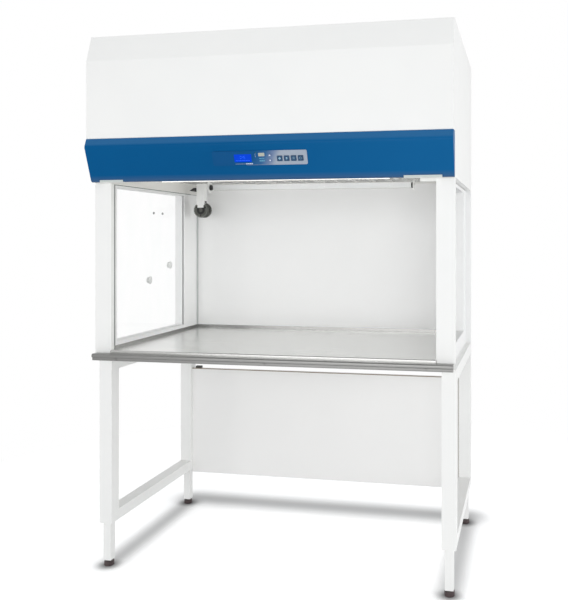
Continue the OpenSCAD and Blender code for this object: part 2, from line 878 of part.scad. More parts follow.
module window_seals() {
    color(rubber) both_sides() {
        block([wall_x, post_back_y, nose_z], [wall_out_x, frame_y, skirt_z]);
        block([wall_x, frame_y, frame_top_z], [wall_out_x - sheet, back_wall_y, skirt_z]);
        block([wall_x - bead, back_wall_y - bead, work_z + lip_h], [wall_x, back_wall_y, ceiling_z]);
    }
}

module window_plugs() {
    color([0.62, 0.63, 0.62]) mirror([1, 0, 0]) for (p = plug_places)
        translate([glass_x, p[0], work_z + p[1]]) rotate([0, 90, 0]) {
            translate([0, 0, -3]) cylinder(d = plug_d + 6, h = 3);
            cylinder(d = plug_d - 0.4, h = glass_t + 4);
        }
}

// The rear wall's double shell, with a column at each end that is as wide as the hood.
module chamber_back() {
    s = sheet;
    color([0.86, 0.86, 0.86]) difference() {
        union() {
            block([-wall_out_x, back_wall_y, stand_h], [wall_out_x, back_y, ceiling_z]);
            both_sides() block([wall_out_x, back_y - column_d, stand_h], [half_w, back_y, hood_z]);
        }
        block([s - wall_out_x, back_wall_y + s, stand_h + s], [wall_out_x - s, back_y + 1, ceiling_z - s]);
        both_sides() block([wall_out_x + s, back_y - column_d + s, stand_h + s],
                           [half_w - s, back_y - s, hood_z - s]);
    }
}

// ---- Drop post with its ribbed discs ----

drop_y = back_wall_y - 145;
drop_z = ceiling_top_z - drop_h;
disc_gap = 1;
disc_z = drop_z - disc_gap - disc_d / 2;
skirt_t = 4;
front_disc_y = drop_y + skirt_t + disc_gap;
hanger_y = front_disc_y + disc_t + disc_gap;
hanger_d = 10;
hanger_w = 22;
rear_disc_y = hanger_y + hanger_d + disc_gap;
disc_axle_r = 5;
disc_axle_fit = 0.08;

module drop_post() {
    tongue_w = drop_w - 9;
    tongue_h = 24;
    color(white) translate([-drop_x, 0, 0]) difference() {
        union() {
            block([-drop_w / 2, drop_y, drop_z], [drop_w / 2, drop_y + drop_d, ceiling_top_z]);
            block([-drop_w / 2, drop_y, drop_z - tongue_h / 2], [drop_w / 2, drop_y + skirt_t, drop_z]);
            block([-tongue_w / 2, drop_y, drop_z - tongue_h], [tongue_w / 2, drop_y + skirt_t, drop_z]);
            block([-hanger_w / 2, hanger_y, disc_z - hanger_w / 2],
                  [hanger_w / 2, hanger_y + hanger_d, drop_z + 20]);
        }
        translate([0, hanger_y - 1, disc_z]) rotate([-90, 0, 0])
            cylinder(r = disc_axle_r + disc_axle_fit, h = hanger_d + 2);
    }
}

module ribbed_disc() {
    rib = 1.6;
    difference() {
        union() {
            cylinder(r = disc_d / 2 - rib, h = disc_t);
            linear_extrude(height = disc_t) for (i = [0:disc_ribs - 1])
                rotate(360 / disc_ribs * i) translate([disc_d / 2 - 4, -1.8]) square([4, 3.6]);
        }
        translate([0, 0, -1]) cylinder(r = 9, h = 5);
    }
}

module drop_discs() {
    color([0.2, 0.2, 0.19]) translate([-drop_x, front_disc_y, disc_z]) rotate([-90, 0, 0]) {
        ribbed_disc();
        cylinder(r = disc_axle_r, h = rear_disc_y - front_disc_y + disc_t);
        translate([0, 0, rear_disc_y - front_disc_y + disc_t]) mirror([0, 0, 1]) ribbed_disc();
    }
}

module cable_grommet() {
    y0 = back_wall_y - 80;
    z0 = ceiling_z - 25;
    color(rubber) along_x(-wall_x, 10 - wall_x)
        polygon([[y0, z0], [y0 + 66, z0], [y0 + 66, z0 + 14], [y0 + 44, z0 + 17]]);
}

// ---- Worktop and base ----

tray_half = post_x - seat_gap;
rib_pitch = 300;
worktop_y = post_y - worktop_lead;
nosing_y = post_y - nosing_lead;
nosing_half = half_w - 7;

module worktop() {
    back = back_wall_y - steel;
    edge_r = 5;
    corners = [[worktop_y, nose_z], [worktop_y, work_z], [back, work_z], [back, nose_z]];
    path = folded(corners, [edge_r, bend_r]);
    rib_w = 60;
    rib_y0 = post_back_y + 20;
    rib_y1 = back_wall_y - 40;
    color(stainless) {
        along_x(-tray_half, tray_half) folded_sheet(path, -steel);
        both_sides() {
            block([tray_half - steel, worktop_y + edge_r, nose_z],
                  [tray_half, back - edge_r, work_z - steel / 2]);
            block([tray_half - steel, post_back_y, work_z - steel], [tray_half, back, work_z + lip_h]);
        }
        block([-tray_half, back - steel, work_z - steel / 2], [tray_half, back, work_z + lip_h]);
        for (x = [-rib_pitch, 0, rib_pitch]) translate([x, 0, 0]) difference() {
            block([-rib_w / 2, rib_y0, nose_z], [rib_w / 2, rib_y1, work_z - steel / 2]);
            block([steel - rib_w / 2, rib_y0 - 1, nose_z + steel],
                  [rib_w / 2 - steel, rib_y1 + 1, work_z - steel]);
        }
    }
}

nosing_mid_z = nose_z - 13;

module front_nosing() {
    step_y = nosing_y + nosing_step;
    path = folded(
        [[post_back_y, nose_z], [nosing_y, nose_z], [nosing_y, nosing_mid_z],
         [step_y, nosing_mid_z], [step_y, stand_h], [beam_y, stand_h]],
        [6, 2.2, 2.2, 3]
    );
    color(stainless) {
        along_x(-nosing_half, nosing_half) folded_sheet(path, steel);
        both_sides() along_x(nosing_half, nosing_half + steel) polygon(concat(path, [[beam_y, nose_z - 4]]));
    }
}

module base_beams() {
    front_top = nose_z - steel;
    ledge_x = wall_x - ledge_w;
    color(white) {
        tube_x([-nosing_half, beam_y, stand_h], [nosing_half, post_back_y, front_top], tube_wall);
        tube_x([-ledge_x, back_wall_y - 30, stand_h], [ledge_x, back_wall_y, nose_z], tube_wall);
    }
}

screw_inset = 98;
screw_x = half_w - screw_inset;
lock_z = leg_end_z + stretcher_h + 25;
lock_r = 5;
lock_fit = 0.1;

// A set screw that locks an inner leg, flush with the tube's face.
module lock_screw() {
    difference() {
        cylinder(r = lock_r, h = tube_wall);
        translate([0, 0, tube_wall - 1]) cylinder(r = 3, h = 2, $fn = 6);
    }
}

module fasteners() {
    screw_y = nosing_y + nosing_step;
    color(stainless) {
        for (x = [-screw_x, 0, screw_x]) translate([x, screw_y, (nosing_mid_z + stand_h) / 2])
            rotate([90, 0, 0]) cylinder(r = 4, h = 2.5);
        both_sides() {
            for (y = [front_leg_y, rear_leg_y])
                translate([leg_x + leg_side / 2, y + leg_side - tube_wall, lock_z])
                    rotate([-90, 0, 0]) lock_screw();
        }
    }
}

// ---- Stand ----

module stand_side(side) {
    w = tube_wall;
    play = (leg_side - inner_side) / 2 - leg_fit;
    color(white) on_side(side) difference() {
        union() {
            for (y = [front_leg_y, rear_leg_y])
                block([leg_x, y, leg_end_z], [half_w, y + leg_side, stand_h]);
            block([leg_x, front_leg_y + 1, rail_z], [half_w, rear_leg_y + 1, stand_h]);
            block([leg_x, front_leg_y + 1, leg_end_z], [half_w, rear_leg_y + 1, leg_end_z + stretcher_h]);
        }
        for (y = [front_leg_y, rear_leg_y])
            block([leg_x + w, y + w, leg_end_z + guide_t], [half_w - w, y + leg_side - w, stand_h - w]);
        for (y = [front_leg_y, rear_leg_y])
            block([leg_x + play, y + play, leg_end_z - 1],
                  [half_w - play, y + leg_side - play, leg_end_z + guide_t + 1]);
        block([leg_x + w, front_leg_y + w, rail_z + w], [half_w - w, rear_leg_y + 2 * w, stand_h - w]);
        block([leg_x + w, front_leg_y + leg_side, leg_end_z + w],
              [half_w - w, rear_leg_y + w + 1, leg_end_z + stretcher_h - w]);
        for (y = [front_leg_y, rear_leg_y]) translate([leg_x + leg_side / 2, y + leg_side - w - 1, lock_z])
            rotate([-90, 0, 0]) cylinder(r = lock_r + lock_fit, h = w + 2);
    }
}

module stand_left() {
    stand_side(-1);
}

module stand_right() {
    stand_side(1);
}

module rear_rail() {
    color(white) tube_x([-leg_x, rear_leg_y, rail_z], [leg_x, back_y, stand_h], tube_wall);
}

rear_panel_y = rear_leg_y + 19;

module rear_panel() {
    fold = 15;
    path = folded(
        [[rear_panel_y + fold, panel_z], [rear_panel_y, panel_z],
         [rear_panel_y, panel_top_z], [rear_panel_y + fold, panel_top_z]],
        [bend_r, bend_r]
    );
    color([0.9, 0.89, 0.87]) along_x(-leg_x, leg_x) folded_sheet(path, -sheet);
}

module panel_trim() {
    strip = 3;
    clip_x = leg_x - 17;
    clip_w = 26;
    color([0.14, 0.12, 0.09]) {
        block([-leg_x, rear_panel_y - 3, panel_top_z - strip], [leg_x, rear_panel_y, panel_top_z]);
        both_sides() block([clip_x - clip_w, rear_panel_y - 3, panel_top_z],
                           [clip_x, rear_panel_y + 14, panel_top_z + 10]);
    }
}

// An inner leg, with the threaded plug that its foot screws into and the block that slides in the outer leg.
module inner_leg(x, y) {
    plug_h = 12;
    color(white) translate([x * (leg_x + leg_side / 2), y + leg_side / 2, inner_end_z]) difference() {
        union() {
            translate([-inner_side / 2, -inner_side / 2, 0]) cube([inner_side, inner_side, inner_len]);
            translate([-block_side / 2, -block_side / 2, inner_len - guide_h])
                cube([block_side, block_side, guide_h]);
        }
        translate([tube_wall - inner_side / 2, tube_wall - inner_side / 2, plug_h])
            cube([inner_side - 2 * tube_wall, inner_side - 2 * tube_wall, inner_len]);
        translate([0, 0, -1]) cylinder(r = stud_r + stud_fit, h = plug_h + 2);
    }
}

module foot(x, y) {
    chamfer = 2;
    r = foot_d / 2;
    color([0.16, 0.11, 0.11]) translate([x * (leg_x + leg_side / 2), y + leg_side / 2, 0]) {
        rotate_extrude() polygon([
            [0, 0], [r - chamfer, 0], [r, chamfer], [r, foot_h - chamfer], [r - chamfer, foot_h], [0, foot_h]
        ]);
        cylinder(r = stud_r, h = inner_end_z + foot_travel + 20);
    }
}

module leg_front_left() {
    inner_leg(-1, front_leg_y);
}

module leg_front_right() {
    inner_leg(1, front_leg_y);
}

module leg_rear_left() {
    inner_leg(-1, rear_leg_y);
}

module leg_rear_right() {
    inner_leg(1, rear_leg_y);
}

module foot_front_left() {
    foot(-1, front_leg_y);
}

module foot_front_right() {
    foot(1, front_leg_y);
}

module foot_rear_left() {
    foot(-1, rear_leg_y);
}

module foot_rear_right() {
    foot(1, rear_leg_y);
}

hood_side_left();
hood_side_right();
hood_front();
hood_top();
hood_back();
fascia();
ceiling_frame();
intake_grille();
prefilter_pad();
blower_deck();
blower_scroll();
blower_wheel();
blower_motor();
filter_frame();
filter_pack();
diffuser_screen();
lamp_tray();
lamp_tubes();
uv_tube();
uv_brackets();
control_overlay();
display_window();
control_board();
key_fan();
key_light();
key_uv();
key_outlet();
key_up();
key_down();
power_inlet();
catch_plates();
post_left();
post_right();
side_frame_left();
side_frame_right();
window_left();
window_right();
window_seals();
window_plugs();
chamber_back();
drop_post();
drop_discs();
cable_grommet();
worktop();
front_nosing();
base_beams();
fasteners();
stand_left();
stand_right();
rear_rail();
rear_panel();
panel_trim();
leg_front_left();
leg_front_right();
leg_rear_left();
leg_rear_right();
foot_front_left();
foot_front_right();
foot_rear_left();
foot_rear_right();
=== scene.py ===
# %% [markdown]
# # A laminar flow hood, dressed for its portrait
#
# This lesson takes the finished construction of a laminar flow hood and gives it its finishes.
# The frame that is loaded here already holds every sheet, tube and bolt at its true size, so
# nothing in it is moved. What is left for Blender is paint, steel, glass, paper and light, and
# the small things that are too fine for the construction: printed signs on the keys, sockets
# for the germicidal tube, drives in the screws. One metre in Blender is one metre on the real hood.

# %% Load the frame
import json
import math
import bpy
import bmesh
from mathutils import Matrix, Vector


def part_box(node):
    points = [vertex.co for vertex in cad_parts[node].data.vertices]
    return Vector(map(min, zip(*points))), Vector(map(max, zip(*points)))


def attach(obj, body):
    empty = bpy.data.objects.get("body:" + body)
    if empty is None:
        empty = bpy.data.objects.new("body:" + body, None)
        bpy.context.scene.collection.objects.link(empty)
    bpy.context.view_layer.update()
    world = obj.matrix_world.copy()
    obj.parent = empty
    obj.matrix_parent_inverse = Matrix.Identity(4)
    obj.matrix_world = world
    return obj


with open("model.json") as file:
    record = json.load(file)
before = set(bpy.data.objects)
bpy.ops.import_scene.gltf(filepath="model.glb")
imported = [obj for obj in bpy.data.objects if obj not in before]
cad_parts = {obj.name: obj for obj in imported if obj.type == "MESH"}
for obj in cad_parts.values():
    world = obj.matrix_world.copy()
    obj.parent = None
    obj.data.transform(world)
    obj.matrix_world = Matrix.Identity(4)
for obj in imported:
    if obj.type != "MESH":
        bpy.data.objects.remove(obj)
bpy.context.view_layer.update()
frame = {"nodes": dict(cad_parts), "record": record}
part = frame["nodes"]


def middle_of(node):
    low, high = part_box(node)
    return (Vector(low) + Vector(high)) / 2


# %% [markdown]
# ## Helpers for shader trees
#
# A material is a tree of nodes. Each could be added and wired by hand, one line per socket, but
# that hides the idea behind the wiring. `put` adds one node, sets it up and feeds it at once: a
# value that is a socket becomes a link, and anything else becomes the socket's own value.
# `tree_of` starts a material with its output and its surface shader, `on_piece` gives the
# position on the piece in metres, and the rest are steps that the finishes repeat: mix two
# colours, spread a value over a range, take one coordinate, add noise, raise a skin.

# %% Helpers for shader trees
CALM, TIGHT = (0.3, 0.7), (0.35, 0.65)  # a noise seldom leaves these ranges


def feed(tree, node, sockets):
    for name, value in sockets.items():
        if isinstance(value, bpy.types.NodeSocket):
            tree.links.new(value, node.inputs[name])
        else:
            node.inputs[name].default_value = value
    return node


def put(tree, kind, sockets=None, **settings):
    node = tree.nodes.new("ShaderNode" + kind)
    for name, value in settings.items():
        setattr(node, name, value)
    return feed(tree, node, sockets or {})


def tree_of(name):
    material = bpy.data.materials.new(name)
    material.use_nodes = True
    tree = material.node_tree
    tree.nodes.clear()
    surface = put(tree, "BsdfPrincipled")
    put(tree, "OutputMaterial", {"Surface": surface.outputs["BSDF"]})
    return material, tree, surface


def show(tree, shader):
    """Put another shader in the surface's place."""
    end = next(node for node in tree.nodes if node.type == "OUTPUT_MATERIAL")
    tree.links.new(shader, end.inputs["Surface"])


def either_shader(tree, share, first, second):
    return put(tree, "MixShader", {0: share, 1: first, 2: second}).outputs["Shader"]


def on_piece(tree, centre=(0, 0, 0), scale=(1, 1, 1)):
    place = put(tree, "TexCoord").outputs["Object"]
    shift = tuple(-c * s for c, s in zip(centre, scale))
    sockets = {"Vector": place, "Scale": scale, "Location": shift}
    return put(tree, "Mapping", sockets).outputs["Vector"]


def blend(tree, amount, low, high):
    colours = {index: colour if isinstance(colour, bpy.types.NodeSocket) else (*colour, 1)
               for index, colour in ((6, low), (7, high))}
    return put(tree, "Mix", {"Factor": amount, **colours}, data_type="RGBA").outputs[2]


def between(tree, share, first, second):
    return put(tree, "Mix", {"Factor": share, "A": first, "B": second}).outputs["Result"]


def spread(tree, value, low, high, start=0.0, end=1.0, **settings):
    sockets = {"Value": value, "From Min": start, "From Max": end, "To Min": low, "To Max": high}
    return put(tree, "MapRange", sockets, **settings).outputs["Result"]


def stretched(tree, value, band=CALM):
    return spread(tree, value, 0.0, 1.0, *band)


def reckon(tree, operation, *values, **settings):
    node = put(tree, "Math", dict(enumerate(values)), operation=operation, **settings)
    return node.outputs["Value"]


def coordinate(tree, place, axis):
    return put(tree, "SeparateXYZ", {"Vector": place}).outputs[axis]


def measured(tree, operation, *vectors):
    return put(tree, "VectorMath", dict(enumerate(vectors)), operation=operation).outputs


def noise(tree, place, scale, detail=2.0, rough=0.5):
    sockets = {"Vector": place, "Scale": scale, "Detail": detail, "Roughness": rough}
    return put(tree, "TexNoise", sockets).outputs["Fac"]


def raised(tree, height, strength, depth, **settings):
    sockets = {"Height": height, "Strength": strength, "Distance": depth}
    return put(tree, "Bump", sockets, **settings).outputs["Normal"]


def shared(tree, group, sockets):
    return put(tree, "Group", sockets, node_tree=group).outputs


def dimmed(colour, share):
    return tuple(share * value for value in colour)


print("shader helpers ready")

# %% [markdown]
# ## Effects that several finishes share
#
# Powder coat is sprayed on dry and baked, so it never levels out fully: close up it has the skin
# of an orange, and from afar its tone drifts a little from the spray. Brushed steel has long
# fine scratches in one direction. Zinc shows frozen crystals. Edges of every coat get a paler
# tone, partly painted highlight where a rounded edge would catch the light and partly wear.
# Each of these could be rebuilt in every material, but an effect that is used twice belongs in
# a node group: it is built once, with named inputs, and each material places it with its own
# values.

# %% Shared shader groups
NUMBER, PLACE = "NodeSocketFloat", "NodeSocketVector"


def group_of(name, inputs, outputs):
    """A group that takes a place and named numbers, and gives named numbers."""
    group = bpy.data.node_groups.new(name, "ShaderNodeTree")
    group.interface.new_socket(name="Place", in_out="INPUT", socket_type=PLACE)
    for label, value in inputs.items():
        group.interface.new_socket(name=label, in_out="INPUT", socket_type=NUMBER).default_value = value
    for label in outputs:
        group.interface.new_socket(name=label, in_out="OUTPUT", socket_type=NUMBER)
    return group, group.nodes.new("NodeGroupInput").outputs, group.nodes.new("NodeGroupOutput")


def sprayed_coat():
    group, given, made = group_of("sprayed coat", {"Peel Size": 420.0}, ("Tone", "Gloss", "Height"))
    feed(group, made, {"Tone": noise(group, given["Place"], 2.3, 3.0),
                       "Gloss": noise(group, given["Place"], 17.0, 4.0, 0.65),
                       "Height": noise(group, given["Place"], given["Peel Size"])})
    return group


# A paler tone on the edges: partly painted highlight, partly wear, broken up by noise.
def edge_lit_wear():
    group, given, made = group_of("edge highlight and wear", {"Reach": 0.0025}, ("Mask",))
    rounded = put(group, "Bevel", {"Radius": given["Reach"]}, samples=4).outputs["Normal"]
    flat = put(group, "NewGeometry").outputs["Normal"]
    apart = measured(group, "DOT_PRODUCT", rounded, flat)["Value"]
    edge = spread(group, apart, 1.0, 0.0, 0.9, 0.995)
    broken = spread(group, noise(group, given["Place"], 60.0, 4.0), 0.1, 1.0, 0.42, 0.62)
    feed(group, made, {"Mask": reckon(group, "MULTIPLY", edge, broken)})
    return group


def settled_dust():
    group, given, made = group_of("settled dust", {"Amount": 0.5}, ("Mask",))
    normal = put(group, "NewGeometry").outputs["Normal"]
    upward = spread(group, coordinate(group, normal, "Z"), 0.0, 1.0, 0.55, 0.95)
    cloud = spread(group, noise(group, given["Place"], 9.0, 6.0), 0.2, 1.0, 0.35, 0.7)
    patch = reckon(group, "MULTIPLY", upward, cloud)
    feed(group, made, {"Mask": reckon(group, "MULTIPLY", patch, given["Amount"])})
    return group


def long_scratches():
    group, given, made = group_of("long scratches", {}, ("Streak", "Cloud"))
    place = put(group, "TexCoord").outputs["Object"]
    feed(group, made, {"Streak": noise(group, given["Place"], 1.0, 5.0, 0.7),
                       "Cloud": noise(group, place, 4.0, 3.0)})
    return group


def zinc_flowers():
    group, given, made = group_of("zinc flowers", {"Crystal Size": 90.0}, ("Tone", "Height"))
    sockets = {"Vector": given["Place"], "Scale": given["Crystal Size"]}
    crystal = put(group, "TexVoronoi", sockets).outputs
    tone = put(group, "SeparateColor", {"Color": crystal["Color"]})
    feed(group, made, {"Tone": tone.outputs["Red"], "Height": crystal["Distance"]})
    return group


def moulded_grain():
    group, given, made = group_of("moulded grain", {"Grain Size": 900.0}, ("Gloss", "Height"))
    feed(group, made, {"Gloss": noise(group, given["Place"], 35.0, 3.0),
                       "Height": noise(group, given["Place"], given["Grain Size"])})
    return group


COAT, EDGES, DUST = sprayed_coat(), edge_lit_wear(), settled_dust()
SCRATCHES, ZINC, GRAIN = long_scratches(), zinc_flowers(), moulded_grain()
print("shader groups:", [group.name for group in bpy.data.node_groups])

# %% [markdown]
# ## Powder coat
#
# Nearly all of the hood is folded steel sheet under a baked powder coat: white outside, blue on
# the control fascia, a warmer white on the ceiling and a soft white in the chamber. A plain white
# shader would do from far away, but real coats drift between two close tones and shine unevenly.
# So the base colour runs between a lighter and a darker tone, the roughness follows the smudges,
# and the paler edges, partly painted highlight and partly wear, and the dust on top are blended
# in last. `painted_light` is a tint that grows along one axis: painted highlights where the
# fascia pales towards its right end, on its bevel and near its foot, and painted shade where the
# catch plates darken above their fold.

# %% Powder coat
DUST_TONE = (0.62, 0.6, 0.56)


def powder_coat(name, light, dark, edge, rough=(0.34, 0.5), peel=420.0, dust=0.2, lit_wear_share=0.4,
                gleam=0.4, painted_light=()):
    material, tree, surface = tree_of(name)
    place = on_piece(tree)
    coat = shared(tree, COAT, {"Place": place, "Peel Size": peel})
    lit_wear_mask = shared(tree, EDGES, {"Place": place})["Mask"]
    settled = shared(tree, DUST, {"Place": place, "Amount": dust})["Mask"]
    colour = blend(tree, stretched(tree, coat["Tone"]), dark, light)
    # Painted light and shade, each tint growing along one axis.
    for axis, start, end, amount, painted_tone in painted_light:
        painted_share = spread(tree, coordinate(tree, place, axis), 0.0, amount, start, end)
        colour = blend(tree, painted_share, colour, painted_tone)
    # The edges take the edge colour: painted highlight mixed with wear.
    colour = blend(tree, spread(tree, lit_wear_mask, 0.0, lit_wear_share), colour, edge)
    feed(tree, surface, {
        "Base Color": blend(tree, settled, colour, DUST_TONE),
        "Roughness": spread(tree, coat["Gloss"], *rough, *CALM),
        "Normal": raised(tree, coat["Height"], 0.15, 0.0002),
        "Specular IOR Level": gleam,
    })
    return material


HALF_MM = 0.0005
PLATE_FOLD = 1.4405
BEVEL_START, BEVEL_END = 1.568, 1.576
FOOT_START, FOOT_END = 1.464, 1.441
WHITE_COAT = powder_coat("white powder coat", (0.9, 0.9, 0.885), (0.865, 0.867, 0.855), (0.95, 0.95, 0.94))
WALL_COAT = powder_coat("chamber wall coat", (0.9, 0.902, 0.9), (0.88, 0.882, 0.88), (0.92, 0.92, 0.92))
# Painted shade: above their fold the catch plates turn a darker grey-green.
PLATE_COAT = powder_coat("matt plate coat", (0.86, 0.86, 0.84), (0.83, 0.83, 0.81), (0.9, 0.9, 0.88),
                         painted_light=[("Z", PLATE_FOLD, PLATE_FOLD + HALF_MM, 1.0, (0.54, 0.59, 0.575))])
CEILING_COAT = powder_coat("ceiling coat", (0.88, 0.872, 0.84), (0.85, 0.842, 0.81), (0.9, 0.89, 0.86))
# Painted highlights on the fascia: paler towards its right end, on its bevel and near its foot.
BLUE_PAINTED_LIGHT = [("X", -0.15, 0.55, 0.8, (0.004, 0.113, 0.305)),
              ("Z", BEVEL_START, BEVEL_END, 0.75, (0.03, 0.14, 0.32)),
              ("Z", FOOT_START, FOOT_END, 0.8, (0.06, 0.118, 0.225))]
BLUE_COAT = powder_coat("blue powder coat", (0.0, 0.092, 0.262), (0.0, 0.083, 0.24), (0.02, 0.12, 0.3),
                        rough=(0.34, 0.46), peel=260.0, dust=0.02, lit_wear_share=0.12, gleam=0.06, painted_light=BLUE_PAINTED_LIGHT)
print("powder coats:", [coat.name for coat in (WHITE_COAT, WALL_COAT, CEILING_COAT, PLATE_COAT, BLUE_COAT)])

# %% [markdown]
# ## Bare metals
#
# The worktop and its nosing are stainless sheet, brushed along their length. The filter's box,
# the blower's spiral and its deck are galvanised, with the frozen zinc crystals showing. Both
# are metal, so Metallic is plain 1 and the colour is the reflected tint. What tells them apart is
# how the roughness and the bump are drawn out: long streaks against small cells. Faces that
# aren't level take a share of the dark tone, one share at the front and another at the rear:
# painted shade that dims the lamps' reflections in the upright lip and folds. The nosing's far
# darker tone is painted shade as well.

# %% Bare metals
LEVEL_FROM, LEVEL_TO = 0.8, 0.99
FRONT_Y, REAR_Y = -0.3, 0.3


def brushed_steel(name, light, dark, grain, rough=(0.24, 0.4), bump=0.12, upright_shade=(1.0, 1.0)):
    material, tree, surface = tree_of(name)
    place = on_piece(tree, scale=grain)
    streak = shared(tree, SCRATCHES, {"Place": place})
    tone = between(tree, 0.4, stretched(tree, streak["Streak"]), stretched(tree, streak["Cloud"]))
    # Upright faces darken, more at the rear: painted shade against the lamps' reflections.
    normal = put(tree, "NewGeometry").outputs["True Normal"]
    level = reckon(tree, "ABSOLUTE", coordinate(tree, normal, "Z"))
    rearward = spread(tree, coordinate(tree, on_piece(tree), "Y"), 0.0, 1.0, FRONT_Y, REAR_Y)
    folded = blend(tree, rearward, *(dimmed(dark, share) for share in upright_shade))
    flat = spread(tree, level, 0.0, 1.0, LEVEL_FROM, LEVEL_TO)
    feed(tree, surface, {
        "Base Color": blend(tree, flat, folded, blend(tree, tone, dark, light)),
        "Roughness": spread(tree, tone, *rough),
        "Normal": raised(tree, streak["Streak"], bump, 0.0003),
        "Metallic": 1.0,
    })
    return material


def zinc_sheet(name, light, dark, crystal):
    material, tree, surface = tree_of(name)
    flowers = shared(tree, ZINC, {"Place": on_piece(tree), "Crystal Size": crystal})
    feed(tree, surface, {
        "Base Color": blend(tree, flowers["Tone"], dark, light),
        "Roughness": spread(tree, flowers["Tone"], 0.3, 0.48),
        "Normal": raised(tree, flowers["Height"], 0.1, 0.0003),
        "Metallic": 1.0,
    })
    return material


STEEL_TOP = brushed_steel("brushed worktop", (0.84, 0.84, 0.825), (0.74, 0.74, 0.725), (3, 420, 420),
                          rough=(0.2, 0.3), bump=0.06, upright_shade=(0.6, 0.38))
# Painted shade: the nosing is the worktop's stainless in a far darker tone.
SHADED_NOSING_STEEL = brushed_steel("shaded brushed nosing", (0.33, 0.33, 0.32), (0.22, 0.22, 0.215), (4, 500, 500),
                           rough=(0.26, 0.4))
BRIGHT_STEEL = brushed_steel("turned steel", (0.56, 0.55, 0.53), (0.4, 0.4, 0.38), (300, 300, 300),
                             rough=(0.25, 0.4))
DULL_STEEL = brushed_steel("dull screw steel", (0.3, 0.3, 0.29), (0.22, 0.22, 0.215), (160, 160, 160),
                           rough=(0.35, 0.5), bump=0.05)
ZINC_SHEET = zinc_sheet("galvanised sheet", (0.72, 0.74, 0.75), (0.56, 0.58, 0.6), 90.0)
WHEEL_ZINC = zinc_sheet("galvanised wheel", (0.66, 0.68, 0.69), (0.5, 0.52, 0.54), 160.0)
METALS = (STEEL_TOP, SHADED_NOSING_STEEL, BRIGHT_STEEL, DULL_STEEL, ZINC_SHEET, WHEEL_ZINC)
print("metals:", [metal.name for metal in METALS])

# %% [markdown]
# ## Plastics, rubber, lacquer and paper
#
# Small parts are moulded: their skin copies the sparks that cut the mould, so it is finely
# pitted and its shine comes and goes. Rubber is the same skin, darker and duller. Two pieces
# change finish at a known place: the rear panel's brown edge band turns near-black above the
# panel's top, and the grey window gasket is painted paler in the rear corners, painted light
# against the shade there. The filter medium is glass paper in tight pleats and the prefilter is
# a felted mat, so both are made of fibres: noise stretched in two directions gives them their nap.

# %% Plastics, rubber and paper
def moulded(name, light, dark, rough=(0.38, 0.55), grain=900.0, bump=0.2):
    material, tree, surface = tree_of(name)
    skin = shared(tree, GRAIN, {"Place": on_piece(tree), "Grain Size": grain})
    uneven = stretched(tree, skin["Gloss"])
    feed(tree, surface, {
        "Base Color": blend(tree, uneven, dark, light),
        "Roughness": spread(tree, uneven, *rough),
        "Normal": raised(tree, skin["Height"], bump, 0.0002),
    })
    return material


def two_part(name, first, second, split, axis):
    """The first colour up to the split along an axis, and the second past it."""
    material, tree, surface = tree_of(name)
    past = reckon(tree, "GREATER_THAN", coordinate(tree, on_piece(tree), axis), split)
    grain = noise(tree, on_piece(tree, scale=(1, 6, 6)), 90.0)
    tone = blend(tree, grain, dimmed(first, 0.75), first)
    feed(tree, surface, {
        "Base Color": blend(tree, past, tone, second),
        "Roughness": spread(tree, grain, 0.45, 0.65),
    })
    return material


def fibres(name, light, dark, across, size):
    material, tree, surface = tree_of(name)
    nap = noise(tree, on_piece(tree, scale=across), size, 8.0, 0.75)
    stain = noise(tree, on_piece(tree), 6.0, 4.0)
    tone = stretched(tree, between(tree, 0.35, nap, stain), TIGHT)
    feed(tree, surface, {
        "Base Color": blend(tree, tone, dark, light),
        "Roughness": spread(tree, tone, 0.85, 0.97),
        "Normal": raised(tree, nap, 0.5, 0.0006),
    })
    return material


BLACK_PLASTIC = moulded("black plastic", (0.035, 0.035, 0.035), (0.018, 0.018, 0.018))
DISC_PLASTIC = moulded("knob plastic", (0.12, 0.125, 0.108), (0.055, 0.058, 0.05), (0.42, 0.6), 240.0, 0.5)
RIM_PLASTIC = moulded("paler disc rim", (0.2, 0.21, 0.19), (0.16, 0.17, 0.15), (0.4, 0.55))
FOOT_PLASTIC = moulded("foot plastic", (0.075, 0.05, 0.05), (0.035, 0.022, 0.024), (0.34, 0.5))
GREY_PLASTIC = moulded("grey plug plastic", (0.78, 0.79, 0.78), (0.7, 0.71, 0.7))
RUBBER = moulded("black rubber", (0.03, 0.03, 0.03), (0.016, 0.016, 0.016), (0.6, 0.8), 600.0, 0.35)
FOAM = moulded("pale foam strip", (0.72, 0.72, 0.71), (0.66, 0.66, 0.65), (0.6, 0.8), 500.0, 0.3)
MOTOR_LACQUER = moulded("motor lacquer", (0.07, 0.075, 0.08), (0.035, 0.038, 0.04), (0.3, 0.5), 500.0, 0.4)
# The band is brown up to the rear panel's top and near-black above it.
BAND_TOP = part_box("rear_panel")[1].z + HALF_MM
EDGE_BAND = two_part("brown edge band, near-black above the panel top", (0.25, 0.19, 0.125), (0.035, 0.033, 0.03),
                     BAND_TOP, "Z")
# Painted light: the gasket is paler from here back to the rear corners, against their shade.
BEAD_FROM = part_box("chamber_back")[0].y - 0.04
SEAL_RUBBER = two_part("grey gasket and corner bead", (0.25, 0.27, 0.26), (0.5, 0.52, 0.51),
                       BEAD_FROM, "Y")
FILTER_PAPER = fibres("pleated glass paper", (0.9, 0.9, 0.87), (0.8, 0.8, 0.77), (1, 1, 1), 400.0)
FELT_MAT = fibres("felted prefilter", (0.82, 0.83, 0.82), (0.62, 0.64, 0.64), (1, 2.5, 6), 180.0)
print("moulded and fibrous finishes made, the edge band ends at", round(BAND_TOP, 4))

